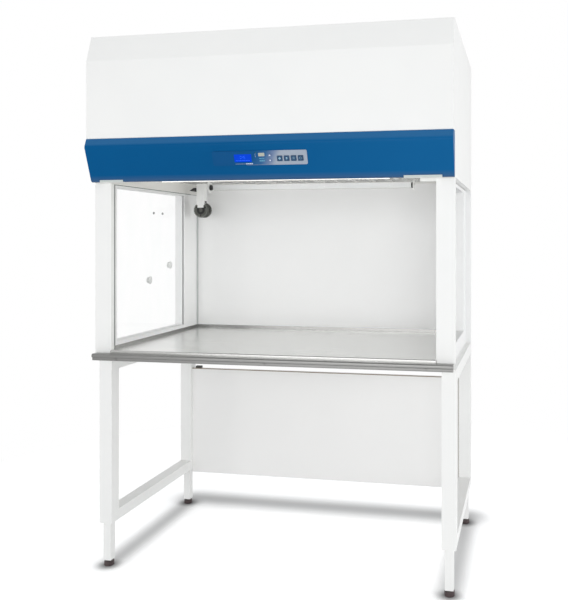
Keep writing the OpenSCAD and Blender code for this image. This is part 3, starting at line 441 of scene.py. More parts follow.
# %% [markdown]
# ## Laminate, glass, lamps and screen
#
# The rear modesty panel is a laminated board with the faintest speckle. The side windows are
# float glass: a clear sheet would block the light of a path tracer like a brick, so its shadow
# is let through with Light Path, and the sheet itself stays a plain glass shader. The lamps that
# light the chamber are glass tubes with a chalky white lining and a faint glow between metal
# caps. The germicidal tube has no lining, so it is nearly clear. The screen under the filter is
# pierced by thousands of holes; as geometry they would be heavy, so a cell pattern draws them.

# %% Laminate, glass, lamps and screen
LAMP_CAP, HOLE_PITCH = 0.014, 0.006
LAMP_GLOW = (1.0, 0.96, 0.88)


def speckled_board(name, light, dark):
    material, tree, surface = tree_of(name)
    speck = noise(tree, on_piece(tree), 700.0, 3.0)
    tone = stretched(tree, between(tree, 0.6, speck, noise(tree, on_piece(tree), 1.8)), TIGHT)
    feed(tree, surface, {
        "Base Color": blend(tree, tone, dark, light),
        "Roughness": spread(tree, tone, 0.36, 0.5),
        "Normal": raised(tree, speck, 0.2, 0.0001),
    })
    return material


def clear_glass(name, light, dark, rough, let_through, bending):
    material, tree, surface = tree_of(name)
    haze = stretched(tree, noise(tree, on_piece(tree, scale=(1, 3, 1)), 7.0, 5.0), (0.35, 0.7))
    feed(tree, surface, {
        "Base Color": blend(tree, haze, light, dark),
        "Roughness": spread(tree, haze, 0.0, rough),
        "Transmission Weight": 1.0, "IOR": bending,
    })
    in_shadow = put(tree, "LightPath").outputs["Is Shadow Ray"]
    passed = put(tree, "BsdfTransparent", {"Color": (*let_through, 1)}).outputs["BSDF"]
    show(tree, either_shader(tree, in_shadow, surface.outputs["BSDF"], passed))
    return material


def lined_tube(name, light, dark, cap, cap_from):
    material, tree, surface = tree_of(name)
    tone = stretched(tree, noise(tree, on_piece(tree, scale=(1, 8, 8)), 12.0, 4.0), TIGHT)
    outward = reckon(tree, "ABSOLUTE", coordinate(tree, on_piece(tree), "X"))
    capped = reckon(tree, "GREATER_THAN", outward, cap_from)
    feed(tree, surface, {
        "Base Color": blend(tree, capped, blend(tree, tone, dark, light), cap),
        "Metallic": capped,
        "Roughness": spread(tree, capped, 0.12, 0.35),
        "Emission Color": blend(tree, capped, LAMP_GLOW, (0.0, 0.0, 0.0)),
        "Emission Strength": 0.8,
    })
    return material


def pierced_sheet(name, light, hole, pitch):
    material, tree, surface = tree_of(name)
    sockets = {"Vector": on_piece(tree), "Scale": 1 / pitch, "Randomness": 0.0}
    cells = put(tree, "TexVoronoi", sockets, voronoi_dimensions="2D")
    punched = spread(tree, cells.outputs["Distance"], 1.0, 0.0, 0.24, 0.3)
    grime = spread(tree, noise(tree, on_piece(tree), 5.0, 4.0), 0.0, 0.25)
    field = blend(tree, grime, light, dimmed(light, 0.9))
    feed(tree, surface, {
        "Base Color": blend(tree, punched, field, hole),
        "Roughness": spread(tree, punched, 0.42, 0.8),
        "Normal": raised(tree, punched, 0.6, 0.0006, invert=True),
    })
    return material


LAMINATE = speckled_board("rear panel laminate", (0.91, 0.905, 0.895), (0.88, 0.875, 0.865))
WINDOW_GLASS = clear_glass("window glass", (1.0, 1.0, 1.0), (0.985, 0.992, 0.99), 0.0,
                           (0.97, 0.98, 0.975), bending=1.1)
QUARTZ_GLASS = clear_glass("germicidal tube glass", (0.99, 0.995, 1.0), (0.96, 0.975, 0.985), 0.02,
                           (0.97, 0.98, 0.985), bending=1.03)
LAMP_LINING = lined_tube("lined lamp glass", (0.93, 0.94, 0.95), (0.87, 0.88, 0.9), (0.62, 0.62, 0.6),
                         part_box("lamp_tubes")[1].x - LAMP_CAP)
PIERCED_SCREEN = pierced_sheet("pierced diffuser", (0.88, 0.87, 0.84), (0.3, 0.3, 0.29), HOLE_PITCH)
print("see-through, lined and pierced finishes made, hole pitch", HOLE_PITCH)

# %% [markdown]
# ## The control panel's finishes
#
# The overlay is a printed polyester film: the blue of the fascia at its left end fades into
# silver grey under the keys. That fade runs along the panel's own width, with its line leaning
# over, so a gradient on the place in metres draws it exactly. The display is a liquid crystal
# cell that glows blue behind a grid of tiny dots, and the keys are soft silicone with a satin
# face.

# %% Control panel finishes
FADE_FROM, FADE_TO, FADE_SLANT = -0.034, 0.062, 0.55
FADE_ENDS = (0.0, 0.078, 0.235), (0.36, 0.41, 0.49)
FADE_BETWEEN = {0.45: (0.035, 0.125, 0.29), 0.75: (0.17, 0.235, 0.38)}
GRIT_TONE = (0.5, 0.55, 0.6)
INK_GRAIN = 1500.0


def printed_film(name):
    material, tree, surface = tree_of(name)
    place = on_piece(tree, centre=(0, 0, middle_of("control_overlay").z))
    split = put(tree, "SeparateXYZ", {"Vector": place}).outputs
    slanted = reckon(tree, "MULTIPLY_ADD", split["Z"], -FADE_SLANT, split["X"])
    fade = put(tree, "ValToRGB", {"Fac": spread(tree, slanted, 0.0, 1.0, FADE_FROM, FADE_TO)})
    stops = fade.color_ramp.elements
    stops[0].color, stops[1].color = ((*colour, 1) for colour in FADE_ENDS)
    for position, colour in FADE_BETWEEN.items():
        stops.new(position).color = (*colour, 1)
    grit = noise(tree, on_piece(tree), 1500.0, 1.0)
    grainy = spread(tree, grit, 0.0, 0.015)
    feed(tree, surface, {
        "Base Color": blend(tree, grainy, fade.outputs["Color"], GRIT_TONE),
        "Roughness": spread(tree, grit, 0.34, 0.46),
        "Normal": raised(tree, grit, 0.08, 0.0001),
        "Specular IOR Level": 0.08,
    })
    return material


def glowing_cell(name):
    material, tree, surface = tree_of(name)
    dots = put(tree, "TexVoronoi", {"Vector": on_piece(tree), "Scale": 1400.0, "Randomness": 0.0})
    spot = stretched(tree, dots.outputs["Distance"], (0.2, 0.6))
    feed(tree, surface, {
        "Base Color": blend(tree, spot, (0.0, 0.012, 0.14), (0.0, 0.008, 0.1)),
        "Emission Color": blend(tree, spot, (0.0, 0.06, 0.68), (0.0, 0.045, 0.56)),
        "Emission Strength": 1.0,
        "Specular IOR Level": 0.06,
        "Roughness": spread(tree, spot, 0.1, 0.2),
    })
    return material


def faint_glow(name, colour, strength):
    material, tree, surface = tree_of(name)
    shown = blend(tree, noise(tree, on_piece(tree), 900.0), colour, dimmed(colour, 0.8))
    feed(tree, surface, {"Emission Color": shown, "Base Color": shown, "Emission Strength": strength})
    return material


def ink(name, light, dark):
    return moulded(name, light, dark, (0.4, 0.55), INK_GRAIN)


PANEL_FILM = printed_film("printed panel film")
DISPLAY_CELL = glowing_cell("display cell")
DIGIT_GLOW = faint_glow("display digits", (0.0, 0.08, 0.68), 0.9)
DARK_KEY = moulded("dark key rubber", (0.002, 0.052, 0.135), (0.0, 0.04, 0.108), (0.35, 0.5), 1200.0)
PALE_KEY = moulded("blue-grey key rubber", (0.13, 0.2, 0.37), (0.1, 0.165, 0.32), (0.35, 0.5), 1200.0)
PALE_INK = ink("pale printing ink", (0.74, 0.78, 0.9), (0.64, 0.69, 0.82))
CREAM_INK = ink("cream printing ink", (0.62, 0.6, 0.45), (0.54, 0.53, 0.41))
KEY_INK = ink("key printing ink", (0.3, 0.5, 0.64), (0.24, 0.42, 0.56))
CYAN_INK = ink("cyan printing ink", (0.1, 0.34, 0.52), (0.08, 0.29, 0.46))
GREY_INK = ink("grey printing ink", (0.24, 0.3, 0.38), (0.19, 0.24, 0.32))
GREEN_LENS = moulded("green lens", (0.1, 0.32, 0.12), (0.06, 0.24, 0.08), (0.08, 0.14), 600.0, 0.05)
BOARD_LACQUER = moulded("green board lacquer", (0.02, 0.12, 0.05), (0.01, 0.08, 0.03), (0.2, 0.35), 800.0)
print("panel finishes made, the fade is", round(FADE_TO - FADE_FROM, 3), "m wide")

# %% [markdown]
# ## Dressing the frame
#
# Every solid of the frame already has its shape, so it only needs its finish. The list below is
# the shop's finishing schedule: one line per finish, and the pieces that get it.

# %% Finishing schedule
SCHEDULE = [
    (WHITE_COAT, "hood_side_left hood_side_right hood_front hood_top hood_back intake_grille lamp_tray "
                 "uv_brackets post_left post_right drop_post base_beams stand_left stand_right rear_rail "
                 "leg_front_left leg_front_right leg_rear_left leg_rear_right"),
    (PLATE_COAT, "catch_plates"),
    (WALL_COAT, "chamber_back side_frame_left side_frame_right"),
    (BLUE_COAT, "fascia"),
    (CEILING_COAT, "ceiling_frame"),
    (PIERCED_SCREEN, "diffuser_screen"),
    (FILTER_PAPER, "filter_pack"),
    (FELT_MAT, "prefilter_pad"),
    (ZINC_SHEET, "blower_deck blower_scroll filter_frame"),
    (WHEEL_ZINC, "blower_wheel"),
    (MOTOR_LACQUER, "blower_motor"),
    (LAMP_LINING, "lamp_tubes"),
    (QUARTZ_GLASS, "uv_tube"),
    (PANEL_FILM, "control_overlay"),
    (DISPLAY_CELL, "display_window"),
    (BOARD_LACQUER, "control_board"),
    (DARK_KEY, "key_fan key_light key_uv key_outlet"),
    (PALE_KEY, "key_up key_down"),
    (BLACK_PLASTIC, "power_inlet"),
    (EDGE_BAND, "panel_trim"),
    (DISC_PLASTIC, "drop_discs"),
    (WINDOW_GLASS, "window_left window_right"),
    (SEAL_RUBBER, "window_seals"),
    (RUBBER, "cable_grommet"),
    (GREY_PLASTIC, "window_plugs"),
    (STEEL_TOP, "worktop"),
    (SHADED_NOSING_STEEL, "front_nosing"),
    (DULL_STEEL, "fasteners"),
    (LAMINATE, "rear_panel"),
    (FOOT_PLASTIC, "foot_front_left foot_front_right foot_rear_left foot_rear_right"),
]

dressed = {name: finish for finish, names in SCHEDULE for name in names.split()}
for name, finish in dressed.items():
    slots = part[name].data.materials
    slots.clear()
    slots.append(finish)
print("dressed:", len(dressed), "still bare:", sorted(set(part) - set(dressed)))

# %% [markdown]
# ## Tools for small solid pieces
#
# The construction stops at about a millimetre, so what is finer is added here as real meshes: a
# screw's drive, the signs on the keys, a lamp's socket. Each starts as a bmesh that a few
# operators shape. `brick` fills a box between two corners and can round its edges, `plate`
# lifts a flat outline, and `turned` spins a profile of (radius, height) pairs round its axis.
# Modelling with add-on primitives would be quicker to type, but their sharp edges never catch
# the light. `finished` closes the seams, turns all faces outwards and hangs the piece on the
# body that carries it.

# %% Tools for small pieces
MM = 0.001
CABINET = "cabinet"
SEAM = 0.000002


def placed(name, data):
    thing = bpy.data.objects.new(name, data)
    bpy.context.scene.collection.objects.link(thing)
    return thing


def mm(*values):
    return tuple(value * MM for value in values)


def brick(work, low, high, rounding=0.0, at=Matrix()):
    middle = (Vector(low) + Vector(high)) / 2
    size = Vector(high) - Vector(low)
    box = at @ Matrix.Translation(middle) @ Matrix.Diagonal((*size, 1))
    made = bmesh.ops.create_cube(work, size=1, matrix=box)
    if rounding:
        edges = list({edge for vert in made["verts"] for edge in vert.link_edges})
        bmesh.ops.bevel(work, geom=edges, offset=rounding, affect="EDGES", segments=2, profile=0.5,
                        material=-1)


def plate(work, outline, thickness, at):
    flat = work.faces.new([work.verts.new(at @ Vector((x, y, 0))) for x, y in outline])
    lifted = bmesh.ops.extrude_face_region(work, geom=[flat])["geom"]
    lift = at.to_3x3() @ Vector((0, 0, thickness))
    bmesh.ops.translate(work, verts=[v for v in lifted if isinstance(v, bmesh.types.BMVert)], vec=lift)


def arc(radius, start, turn, steps, centre):
    angles = [math.radians(start + turn * i / steps) for i in range(steps + 1)]
    return [(centre[0] + radius * math.cos(a), centre[1] + radius * math.sin(a)) for a in angles]


def turned(work, profile, at, steps):
    rim = [work.verts.new(at @ Vector((radius, 0, height))) for radius, height in profile]
    line = [work.edges.new(pair) for pair in zip(rim, rim[1:])]
    bmesh.ops.spin(work, geom=rim + line, cent=at.translation, axis=at.to_3x3() @ Vector((0, 0, 1)),
                   angle=math.tau, steps=steps, use_merge=True)


def disc(work, radius, height, at, steps):
    turned(work, [(0, height), (radius, height), (radius, 0)], at, steps)


def ring(work, inner, outer, low, high, at, steps):
    turned(work, [(inner, low), (outer, low), (outer, high), (inner, high), (inner, low)], at, steps)


def finished(name, work, finish, body, smooth=32.0):
    bmesh.ops.remove_doubles(work, verts=work.verts, dist=SEAM)
    bmesh.ops.recalc_face_normals(work, faces=work.faces)
    mesh = bpy.data.meshes.new(name)
    work.to_mesh(mesh)
    work.free()
    mesh.shade_smooth()
    mesh.set_sharp_from_angle(angle=math.radians(smooth))
    mesh.materials.append(finish)
    piece = placed(name, mesh)
    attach(piece, body)


def looking(place, forward, up=(0, 0, 1)):
    """A frame whose Z points along forward and whose Y is as near as it gets to up."""
    z = Vector(forward).normalized()
    x = Vector(up).cross(z).normalized()
    return Matrix.Translation(place) @ Matrix((x, z.cross(x), z)).transposed().to_4x4()


print("tools ready, a millimetre is", MM)

# %% [markdown]
# ## The face of the control panel
#
# The fascia leans back, so nothing on it lies along the room's axes. Instead of turning each sign
# by hand, the panel gets a frame of its own: X runs along it, Y up the slope and Z straight
# out. The direction is not typed in either. The keys travel straight into the panel, so the
# axis of any key's joint, turned round, is the panel's own Z.

# %% Panel frame
FILM_T, KEY_PROUD = mm(2.5, 1.5)
joints = frame["record"]["behaviour"]["joints"]
travel = next(joint["axis"] for joint in joints if joint["name"] == "key_fan_press")
outward = -Vector(travel).normalized()
film_middle = middle_of("control_overlay")
film_middle.x = 0
FACE = looking(film_middle + outward * FILM_T / 2, outward)


def on_face(x, y, height=0.0):
    return FACE @ Matrix.Translation((x, y, height))


def face_place(node):
    spot = FACE.inverted() @ middle_of(node)
    return spot.x, spot.y


print("panel looks along", tuple(round(v, 3) for v in outward), "fan key at", face_place("key_fan"))

# %% [markdown]
# ## Signs on the keys
#
# Each key has a light sign: a fan, a lamp, a ring of rays for the germicidal tube, a mains
# outlet, an arrow up and an arrow down. They could be painted with a mask in the key's
# material, but a sign that is a tenth of a millimetre thick takes the light as raised print
# does, and it rides on its own key, so it dips when the key is pressed.

# %% Key signs
INK_T = 0.12 * MM
FAN_BLADES, BLADE_R, BLADE_OUT, BOSS_R = 4, 2.1 * MM, 2.6 * MM, 1.3 * MM
BOSS_T = INK_T * 1.4
BULB_R, BULB_UP, BASE_HALF = mm(3.2, 0.8, 1.6)
BASE_DROP, BASE_STEP, BASE_ROW = 3.0, 1.3, 0.7
RAYS, SUN_IN, SUN_OUT = 8, 1.7 * MM, 2.6 * MM
RAY_FROM, RAY_TO, RAY_HALF = mm(3.4, 4.9, 0.3)
OUTLET_IN, OUTLET_OUT, HOLE_SIGN_R, HOLE_SIGN_X = mm(3.9, 4.6, 0.8, 1.7)
ARROW_UP = [mm(-4.2, -2.4), mm(4.2, -2.4), mm(0, 2.8)]
ARROW_DOWN = [mm(-4.2, 2.4), mm(0, -2.8), mm(4.2, 2.4)]


def fan_sign(work, at):
    for blade in range(FAN_BLADES):
        turn = 360 / FAN_BLADES * blade
        root = [BLADE_OUT * math.cos(math.radians(turn)), BLADE_OUT * math.sin(math.radians(turn))]
        plate(work, arc(BLADE_R, turn - 90, 250, 10, root), INK_T, at)
    disc(work, BOSS_R, BOSS_T, at, 16)


def lamp_sign(work, at):
    plate(work, arc(BULB_R, -50, 280, 16, (0, BULB_UP)), INK_T, at)
    for row in range(2):
        low = -(BASE_DROP + BASE_STEP * row) * MM
        brick(work, (-BASE_HALF, low - BASE_ROW * MM, 0), (BASE_HALF, low, INK_T), at=at)


def rays_sign(work, at):
    ring(work, SUN_IN, SUN_OUT, 0, INK_T, at, 20)
    for ray in range(RAYS):
        spoke = at @ Matrix.Rotation(math.tau / RAYS * ray, 4, "Z")
        brick(work, (RAY_FROM, -RAY_HALF, 0), (RAY_TO, RAY_HALF, INK_T), at=spoke)


def outlet_sign(work, at):
    ring(work, OUTLET_IN, OUTLET_OUT, 0, INK_T, at, 24)
    for side in (-1, 1):
        disc(work, HOLE_SIGN_R, INK_T, at @ Matrix.Translation((HOLE_SIGN_X * side, 0, 0)), 12)


def up_sign(work, at):
    plate(work, ARROW_UP, INK_T, at)


def down_sign(work, at):
    plate(work, ARROW_DOWN, INK_T, at)


SIGNS = {"key_fan": (fan_sign, KEY_INK), "key_light": (lamp_sign, KEY_INK), "key_uv": (rays_sign, KEY_INK),
         "key_outlet": (outlet_sign, KEY_INK), "key_up": (up_sign, PALE_INK),
         "key_down": (down_sign, PALE_INK)}
for key, (draw, key_ink) in SIGNS.items():
    work = bmesh.new()
    draw(work, on_face(*face_place(key), KEY_PROUD))
    finished(key.replace("key_", "sign_"), work, key_ink, key)
print("signs:", len(SIGNS))

# %% [markdown]
# ## Print on the panel
#
# Beside the display stands a short legend, grey rows on a cream field, and below it run captions.
# Their words belong to one maker, so here they are rows of plain bars of the same length and
# tone, which is what a reader sees from a metre away in any case. Thin grey rows close the
# lower edge.

# %% Panel print
LETTER_GAP = 0.8
DOT_R, DOT_X = mm(0.9, -21)


def bars(work, left, right, low, high, gaps):
    """One printed row in millimetres, broken at the given shares of its length."""
    length = right - left
    for start, end in zip([0.0, *gaps], [*gaps, 1.0]):
        brick(work, (*mm(left + start * length, low), 0),
              (*mm(left + end * length - LETTER_GAP, high), INK_T), at=FACE)


legend = bmesh.new()
brick(legend, mm(-9, 6, 0), (*mm(12.5, 17.5), INK_T / 2), at=FACE)
finished("panel_legend", legend, CREAM_INK, CABINET)

PRINT = {
    "panel_legend_rows": (GREY_INK, [(-7.5, 11.5, low, low + 1.1, (0.32, 0.7)) for low in (8.0, 11.2, 14.4)]),
    "panel_captions": (PALE_INK, [(-58, -32, -21.6, -18.6, (0.2, 0.5, 0.78))]),
    "panel_rows": (CYAN_INK, [(-8, 12, -3.4, -0.6, (0.4, 0.62)), (-7, 13, -12.6, -7.6, (0.3, 0.78))]),
    "panel_border": (GREY_INK, [(-97, -58.5, -21.2, -19.4, (0.15, 0.36, 0.52, 0.8)),
                                (-56, 30, -24.9, -23.9, ())]),
}
DOTS = {"panel_captions": mm(4.5, 9.5, 14.0)}
for name, (print_ink, rows) in PRINT.items():
    work = bmesh.new()
    for row in rows:
        bars(work, *row)
    for dot_y in DOTS.get(name, ()):
        disc(work, DOT_R, INK_T, on_face(DOT_X, dot_y), 12)
    finished(name, work, print_ink, CABINET)
print("legend, captions and border printed")

# %% [markdown]
# ## Display and alarm lamp
#
# The display shows a speed in seven-segment digits. A digit is a list of the bars that are lit,
# so three digits are one loop over three short lists. They are only a little paler than the
# cell behind them, as on a real backlit crystal. The alarm lamp is a green dome.

# %% Display digits
DIGIT_W, DIGIT_H, STROKE = 4.2 * MM, 9.0 * MM, 0.9 * MM
LIT = {"0": "abcdef", "4": "bcfg", "5": "acdfg"}
READING, FIRST_DIGIT, DIGIT_STEP = "045", -10, 7
DIGIT_DROP, POINT_LEFT, POINT_LOW, POINT_RIGHT, POINT_HIGH = mm(1.5, 4.6, 2.0, 3.8, 1.1)
TICKS, FIRST_TICK, TICK_STEP = 10, -26, 5.2
TICK_W, TICK_LOW, TICK_HIGH = mm(3.6, 9.5, 7.5)
DISPLAY_SUNK = -0.4 * MM
LENS_R, LENS_RISE, LENS_FOOT = 1.25 * MM, 0.7, -1.5 * MM
GLASS_FACE = on_face(0, 0, DISPLAY_SUNK)


def lit_bar(left, low, right, high):
    brick(reading, (left, low, 0), (right, high, INK_T), at=GLASS_FACE)


def digit(shown, left, low):
    half = DIGIT_H / 2
    levels = {"a": DIGIT_H, "g": half, "d": 0.0}
    posts = {"f": (0, half), "b": (DIGIT_W, half), "e": (0, 0), "c": (DIGIT_W, 0)}
    for bar in LIT[shown]:
        if bar in levels:
            x, y, wide, tall = left, low + levels[bar] - STROKE / 2, DIGIT_W, STROKE
        else:
            x, y = left + posts[bar][0] - STROKE / 2, low + posts[bar][1] + STROKE
            wide, tall = STROKE, half - 2 * STROKE
        lit_bar(x, y, x + wide, y + tall)


display_x, display_y = face_place("display_window")
reading = bmesh.new()
for place, shown in enumerate(READING):
    digit(shown, display_x + (DIGIT_STEP * place + FIRST_DIGIT) * MM, display_y - DIGIT_DROP)
lit_bar(display_x - POINT_LEFT, display_y - POINT_LOW, display_x - POINT_RIGHT, display_y - POINT_HIGH)
for tick in range(TICKS):
    left = display_x + (TICK_STEP * tick + FIRST_TICK) * MM
    lit_bar(left, display_y - TICK_LOW, left + TICK_W, display_y - TICK_HIGH)
finished("display_reading", reading, DIGIT_GLOW, CABINET)

lens = bmesh.new()
dome = [(LENS_R * math.cos(math.radians(a)), LENS_R * math.sin(math.radians(a)) * LENS_RISE)
        for a in range(90, -1, -15)]
turned(lens, [*dome, (LENS_R, LENS_FOOT)], on_face(*mm(-18, 19)), 20)
finished("alarm_lens", lens, GREEN_LENS, CABINET)
print("display reads 0.45 metres a second")

# %% [markdown]
# ## Screws
#
# The sheets are held by pan-head screws with a socket. One screw is one spun profile: down into
# the drive, over the crown and out to the rim. All screws on the rear sheet go into one mesh,
# because they are the same turned part in a row, and a row is a loop.

# %% Screws
HEAD_R, HEAD_H = mm(4.2, 2.2)
HEAD_PROFILE = [(0, 0.3), (0.42, 0.3), (0.45, 0.95), (0.6, 1), (0.88, 0.7), (1, 0.25), (1, 0)]
EDGE_IN, RECESS, TOP_LIP, SIDE_LOW, SIDE_HIGH = mm(12, 2.3, 8, 120, 130)
ACROSS, UP_THE_SIDE = 7, 3


def rear_screw(x, z):
    profile = [(across * HEAD_R, up * HEAD_H) for across, up in HEAD_PROFILE]
    turned(rear_screws, profile, looking((x, rear_high[1] - RECESS, z), (0, 1, 0)), 16)


def spaced(start, end, count):
    return [start + (end - start) * i / (count - 1) for i in range(count)]


rear_low, rear_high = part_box("hood_back")
rear_screws = bmesh.new()
for x in spaced(rear_low[0] + EDGE_IN, rear_high[0] - EDGE_IN, ACROSS):
    for z in (rear_low[2] + EDGE_IN, rear_high[2] - EDGE_IN - TOP_LIP):
        rear_screw(x, z)
for z in spaced(rear_low[2] + SIDE_LOW, rear_high[2] - SIDE_HIGH, UP_THE_SIDE):
    for x in (rear_low[0] + EDGE_IN, rear_high[0] - EDGE_IN):
        rear_screw(x, z)
finished("rear_sheet_screws", rear_screws, BRIGHT_STEEL, CABINET)
print("rear sheet screws:", ACROSS * 2 + UP_THE_SIDE * 2)

# %% [markdown]
# ## Fittings inside the chamber
#
# The germicidal tube plugs into dark sockets on its two white brackets; a grommet closes each
# service hole of the left window; the discs on the hanging post turn on a hub. Small dark
# parts like these tell the eye how large the machine is. Nearly every place is read from the
# frame, so a socket stays on its bracket if the bracket moves.

# %% Chamber fittings
SOCKET_PROFILE = [mm(4, 0), mm(4, 4), mm(5.5, 8), mm(10.5, 8), mm(11.5, 6.5), mm(11.5, 0)]
PIN_R, PIN_LENGTH, PIN_APART = mm(1.1, 6.2, 2)
tube_low, tube_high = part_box("uv_tube")
tube_y, tube_z = (tube_low[1] + tube_high[1]) / 2, (tube_low[2] + tube_high[2]) / 2


def tube_seat(side, shift=0.0):
    return looking((side * tube_high[0], tube_y + shift, tube_z), (-side, 0, 0))


sockets, pins = bmesh.new(), bmesh.new()
for side in (-1, 1):
    turned(sockets, SOCKET_PROFILE, tube_seat(side), 28)
    for shift in (-PIN_APART, PIN_APART):
        disc(pins, PIN_R, PIN_LENGTH, tube_seat(side, shift), 12)
finished("uv_sockets", sockets, BLACK_PLASTIC, CABINET)
finished("uv_pins", pins, BRIGHT_STEEL, CABINET)

HUB_IN, HUB_OUT, RIM_IN, RIM_OUT, MARK_LOW = mm(9, 19, 29.5, 32, -0.4)
HUB_TOP, SPOKE_TOP, RIM_TOP, SPOKE_END, SPOKE_HALF = mm(0.7, 0.6, 0.8, 30, 2.2)
DISC_SPOKES, SPOKE_TURN = 3, 0.5
disc_middle = middle_of("drop_discs")
hub = looking((disc_middle.x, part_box("drop_discs")[0][1], disc_middle.z), (0, -1, 0))
hub_marks = bmesh.new()
ring(hub_marks, HUB_IN, HUB_OUT, MARK_LOW, HUB_TOP, hub, 40)
for spoke in range(DISC_SPOKES):
    arm = hub @ Matrix.Rotation(math.tau / DISC_SPOKES * spoke + SPOKE_TURN, 4, "Z")
    brick(hub_marks, (HUB_OUT, -SPOKE_HALF, MARK_LOW), (SPOKE_END, SPOKE_HALF, SPOKE_TOP), 0.3 * MM, arm)
finished("disc_hub_ring", hub_marks, RUBBER, "drop_discs")
rim_marks = bmesh.new()
ring(rim_marks, RIM_IN, RIM_OUT, MARK_LOW, RIM_TOP, hub, 48)
finished("disc_rim_ring", rim_marks, RIM_PLASTIC, "drop_discs")

KNOB_PROFILE = [mm(0, 7), mm(3, 7), mm(4, 6), mm(4, 2.5), mm(2.2, 2), mm(2.2, 0)]
KNOB_IN, KNOB_UP = mm(9, 47)
post_low, post_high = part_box("drop_post")
knob = bmesh.new()
knob_place = (post_high[0], post_low[1] + KNOB_IN, post_low[2] + KNOB_UP)
turned(knob, KNOB_PROFILE, looking(knob_place, (1, 0, 0)), 20)
finished("post_knob", knob, BLACK_PLASTIC, CABINET)

GROMMET_PROFILE = [mm(0, 0.3), mm(3.5, 0.3), mm(4.8, 0.9), mm(4.8, 5.1), mm(3.5, 5.7), mm(0, 5.7)]
HOLE_STEP, HOLE_Y, HOLE_Z = mm(37.5, 30, 1339)
glass_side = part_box("window_left")[0][0]
grommets = bmesh.new()
for y in (HOLE_Y - HOLE_STEP, HOLE_Y + HOLE_STEP):
    turned(grommets, GROMMET_PROFILE, looking((glass_side, y, HOLE_Z), (1, 0, 0)), 24)
finished("window_grommets", grommets, SEAL_RUBBER, CABINET)
print("sockets, pins, hub and rim rings, knob and grommets placed")

# %% [markdown]
# ## Edge strip, lock nuts and foam
#
# The rear panel is a laminated board. A narrow brown strip stands along its right end only,
# one of the few dark lines on the white stand. Under each leg a thin lock nut holds the
# levelling foot, so it rides on the leg and the foot turns beneath it. Between the hood and each
# side frame a pale foam strip closes the joint, or the gap would be a black line.

# %% Edge strip and lock nuts
STRIP = 3 * MM
panel_low, panel_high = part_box("rear_panel")
strip = bmesh.new()
brick(strip, (panel_high[0] - STRIP, panel_low[1] - STRIP, panel_low[2]),
      (panel_high[0], panel_low[1], panel_high[2] - STRIP), rounding=0.4 * MM)
finished("panel_end_strip", strip, EDGE_BAND, CABINET)

NUT_R, NUT_BORE, NUT_LOW, NUT_HIGH = mm(9, 5.4, 18.4, 21.9)
for corner in ("front_left", "front_right", "rear_left", "rear_right"):
    foot = middle_of("foot_" + corner)
    nut = bmesh.new()
    ring(nut, NUT_BORE, NUT_R, NUT_LOW, NUT_HIGH, Matrix.Translation((foot.x, foot.y, 0)), 6)
    finished("lock_nut_" + corner, nut, BRIGHT_STEEL, "leg_" + corner, 20)

FOAM_IN, FOAM_OUT, FOAM_FRONT, FOAM_REAR, FOAM_UNDER = mm(9.5, 0.3, 4, 6, 0.2)
hood_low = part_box("hood_side_right")[0]
frame_low, frame_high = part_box("side_frame_right")
foam = bmesh.new()
for side in (-1, 1):
    brick(foam, (side * (frame_high[0] - FOAM_IN), frame_low[1] + FOAM_FRONT, frame_high[2]),
          (side * (frame_high[0] - FOAM_OUT), frame_high[1] - FOAM_REAR, hood_low[2] - FOAM_UNDER),
          rounding=0.8 * MM)
finished("foam_strips", foam, FOAM, CABINET)
print("strip, four lock nuts and foam strips placed")

# %% [markdown]
# ## Floor, backdrop, lamps and camera
#
# A catalogue picture floats a white machine on white paper. The paper must stay white while the
# machine keeps its soft grey modelling, and adding light until the floor burns out would burn
# the machine too. So the floor glows only for rays that come straight from the camera, a
# reflection or a sheet of glass. It still takes the hood's shadow from the lamps, and the soft
# shade close to the feet is worked out in its material from the places of the feet.

# %% Floor and backdrop
PAPER_HALF, PAPER_REACH, FADE_START = 14, 2.2, 0.45
PAPER_TONE, PAPER_GLOW = (1.12, 1.12, 1.12), 0.32
BAND_SIDE, BAND_REAR, BAND_BACK, SPOT, HALO = 0.085, 0.14, 0.07, 0.06, 0.34
SIDE_LEAST, REAR_LEAST, HALO_LEAST, SPOT_LEAST = 0.5, 0.45, 0.93, 0.3
AMBIENT = 0.62
PURE_WHITE = (1, 1, 1, 1)


def seen_directly(tree):
    """1 for rays from the camera, a reflection or a sheet of glass."""
    path = put(tree, "LightPath").outputs
    seen = reckon(tree, "ADD", path["Is Camera Ray"], path["Is Glossy Ray"])
    return reckon(tree, "ADD", seen, path["Is Transmission Ray"], use_clamp=True)


def contact_shade(tree):
    """1 on the open floor, less near a foot and under the lines that join the feet."""
    front, rear = middle_of("foot_front_right"), middle_of("foot_rear_right")
    place = put(tree, "SeparateXYZ", {"Vector": on_piece(tree)}).outputs
    mirrored = {"X": reckon(tree, "ABSOLUTE", place["X"]), "Y": place["Y"]}
    folded = put(tree, "CombineXYZ", mirrored).outputs["Vector"]

    def away_from(low, high, reach, least):
        held = measured(tree, "MAXIMUM", folded, low)["Vector"]
        held = measured(tree, "MINIMUM", held, high)["Vector"]
        away = measured(tree, "DISTANCE", folded, held)["Value"]
        return spread(tree, away, least, 1.0, 0.0, reach, interpolation_type="SMOOTHSTEP")

    near_foot, far_foot = (front.x, front.y, 0), (rear.x, rear.y, 0)
    band_end, band_middle = (rear.x, rear.y + BAND_BACK, 0), (0, rear.y + BAND_BACK, 0)
    shade = 1.0
    for dark_patch in ((near_foot, far_foot, BAND_SIDE, SIDE_LEAST),
                       (band_middle, band_end, BAND_REAR, REAR_LEAST),
                       (near_foot, far_foot, HALO, HALO_LEAST), (band_middle, band_end, HALO, HALO_LEAST),
                       (near_foot, near_foot, SPOT, SPOT_LEAST), (far_foot, far_foot, SPOT, SPOT_LEAST)):
        shade = reckon(tree, "MULTIPLY", shade, away_from(*dark_patch))
    return shade


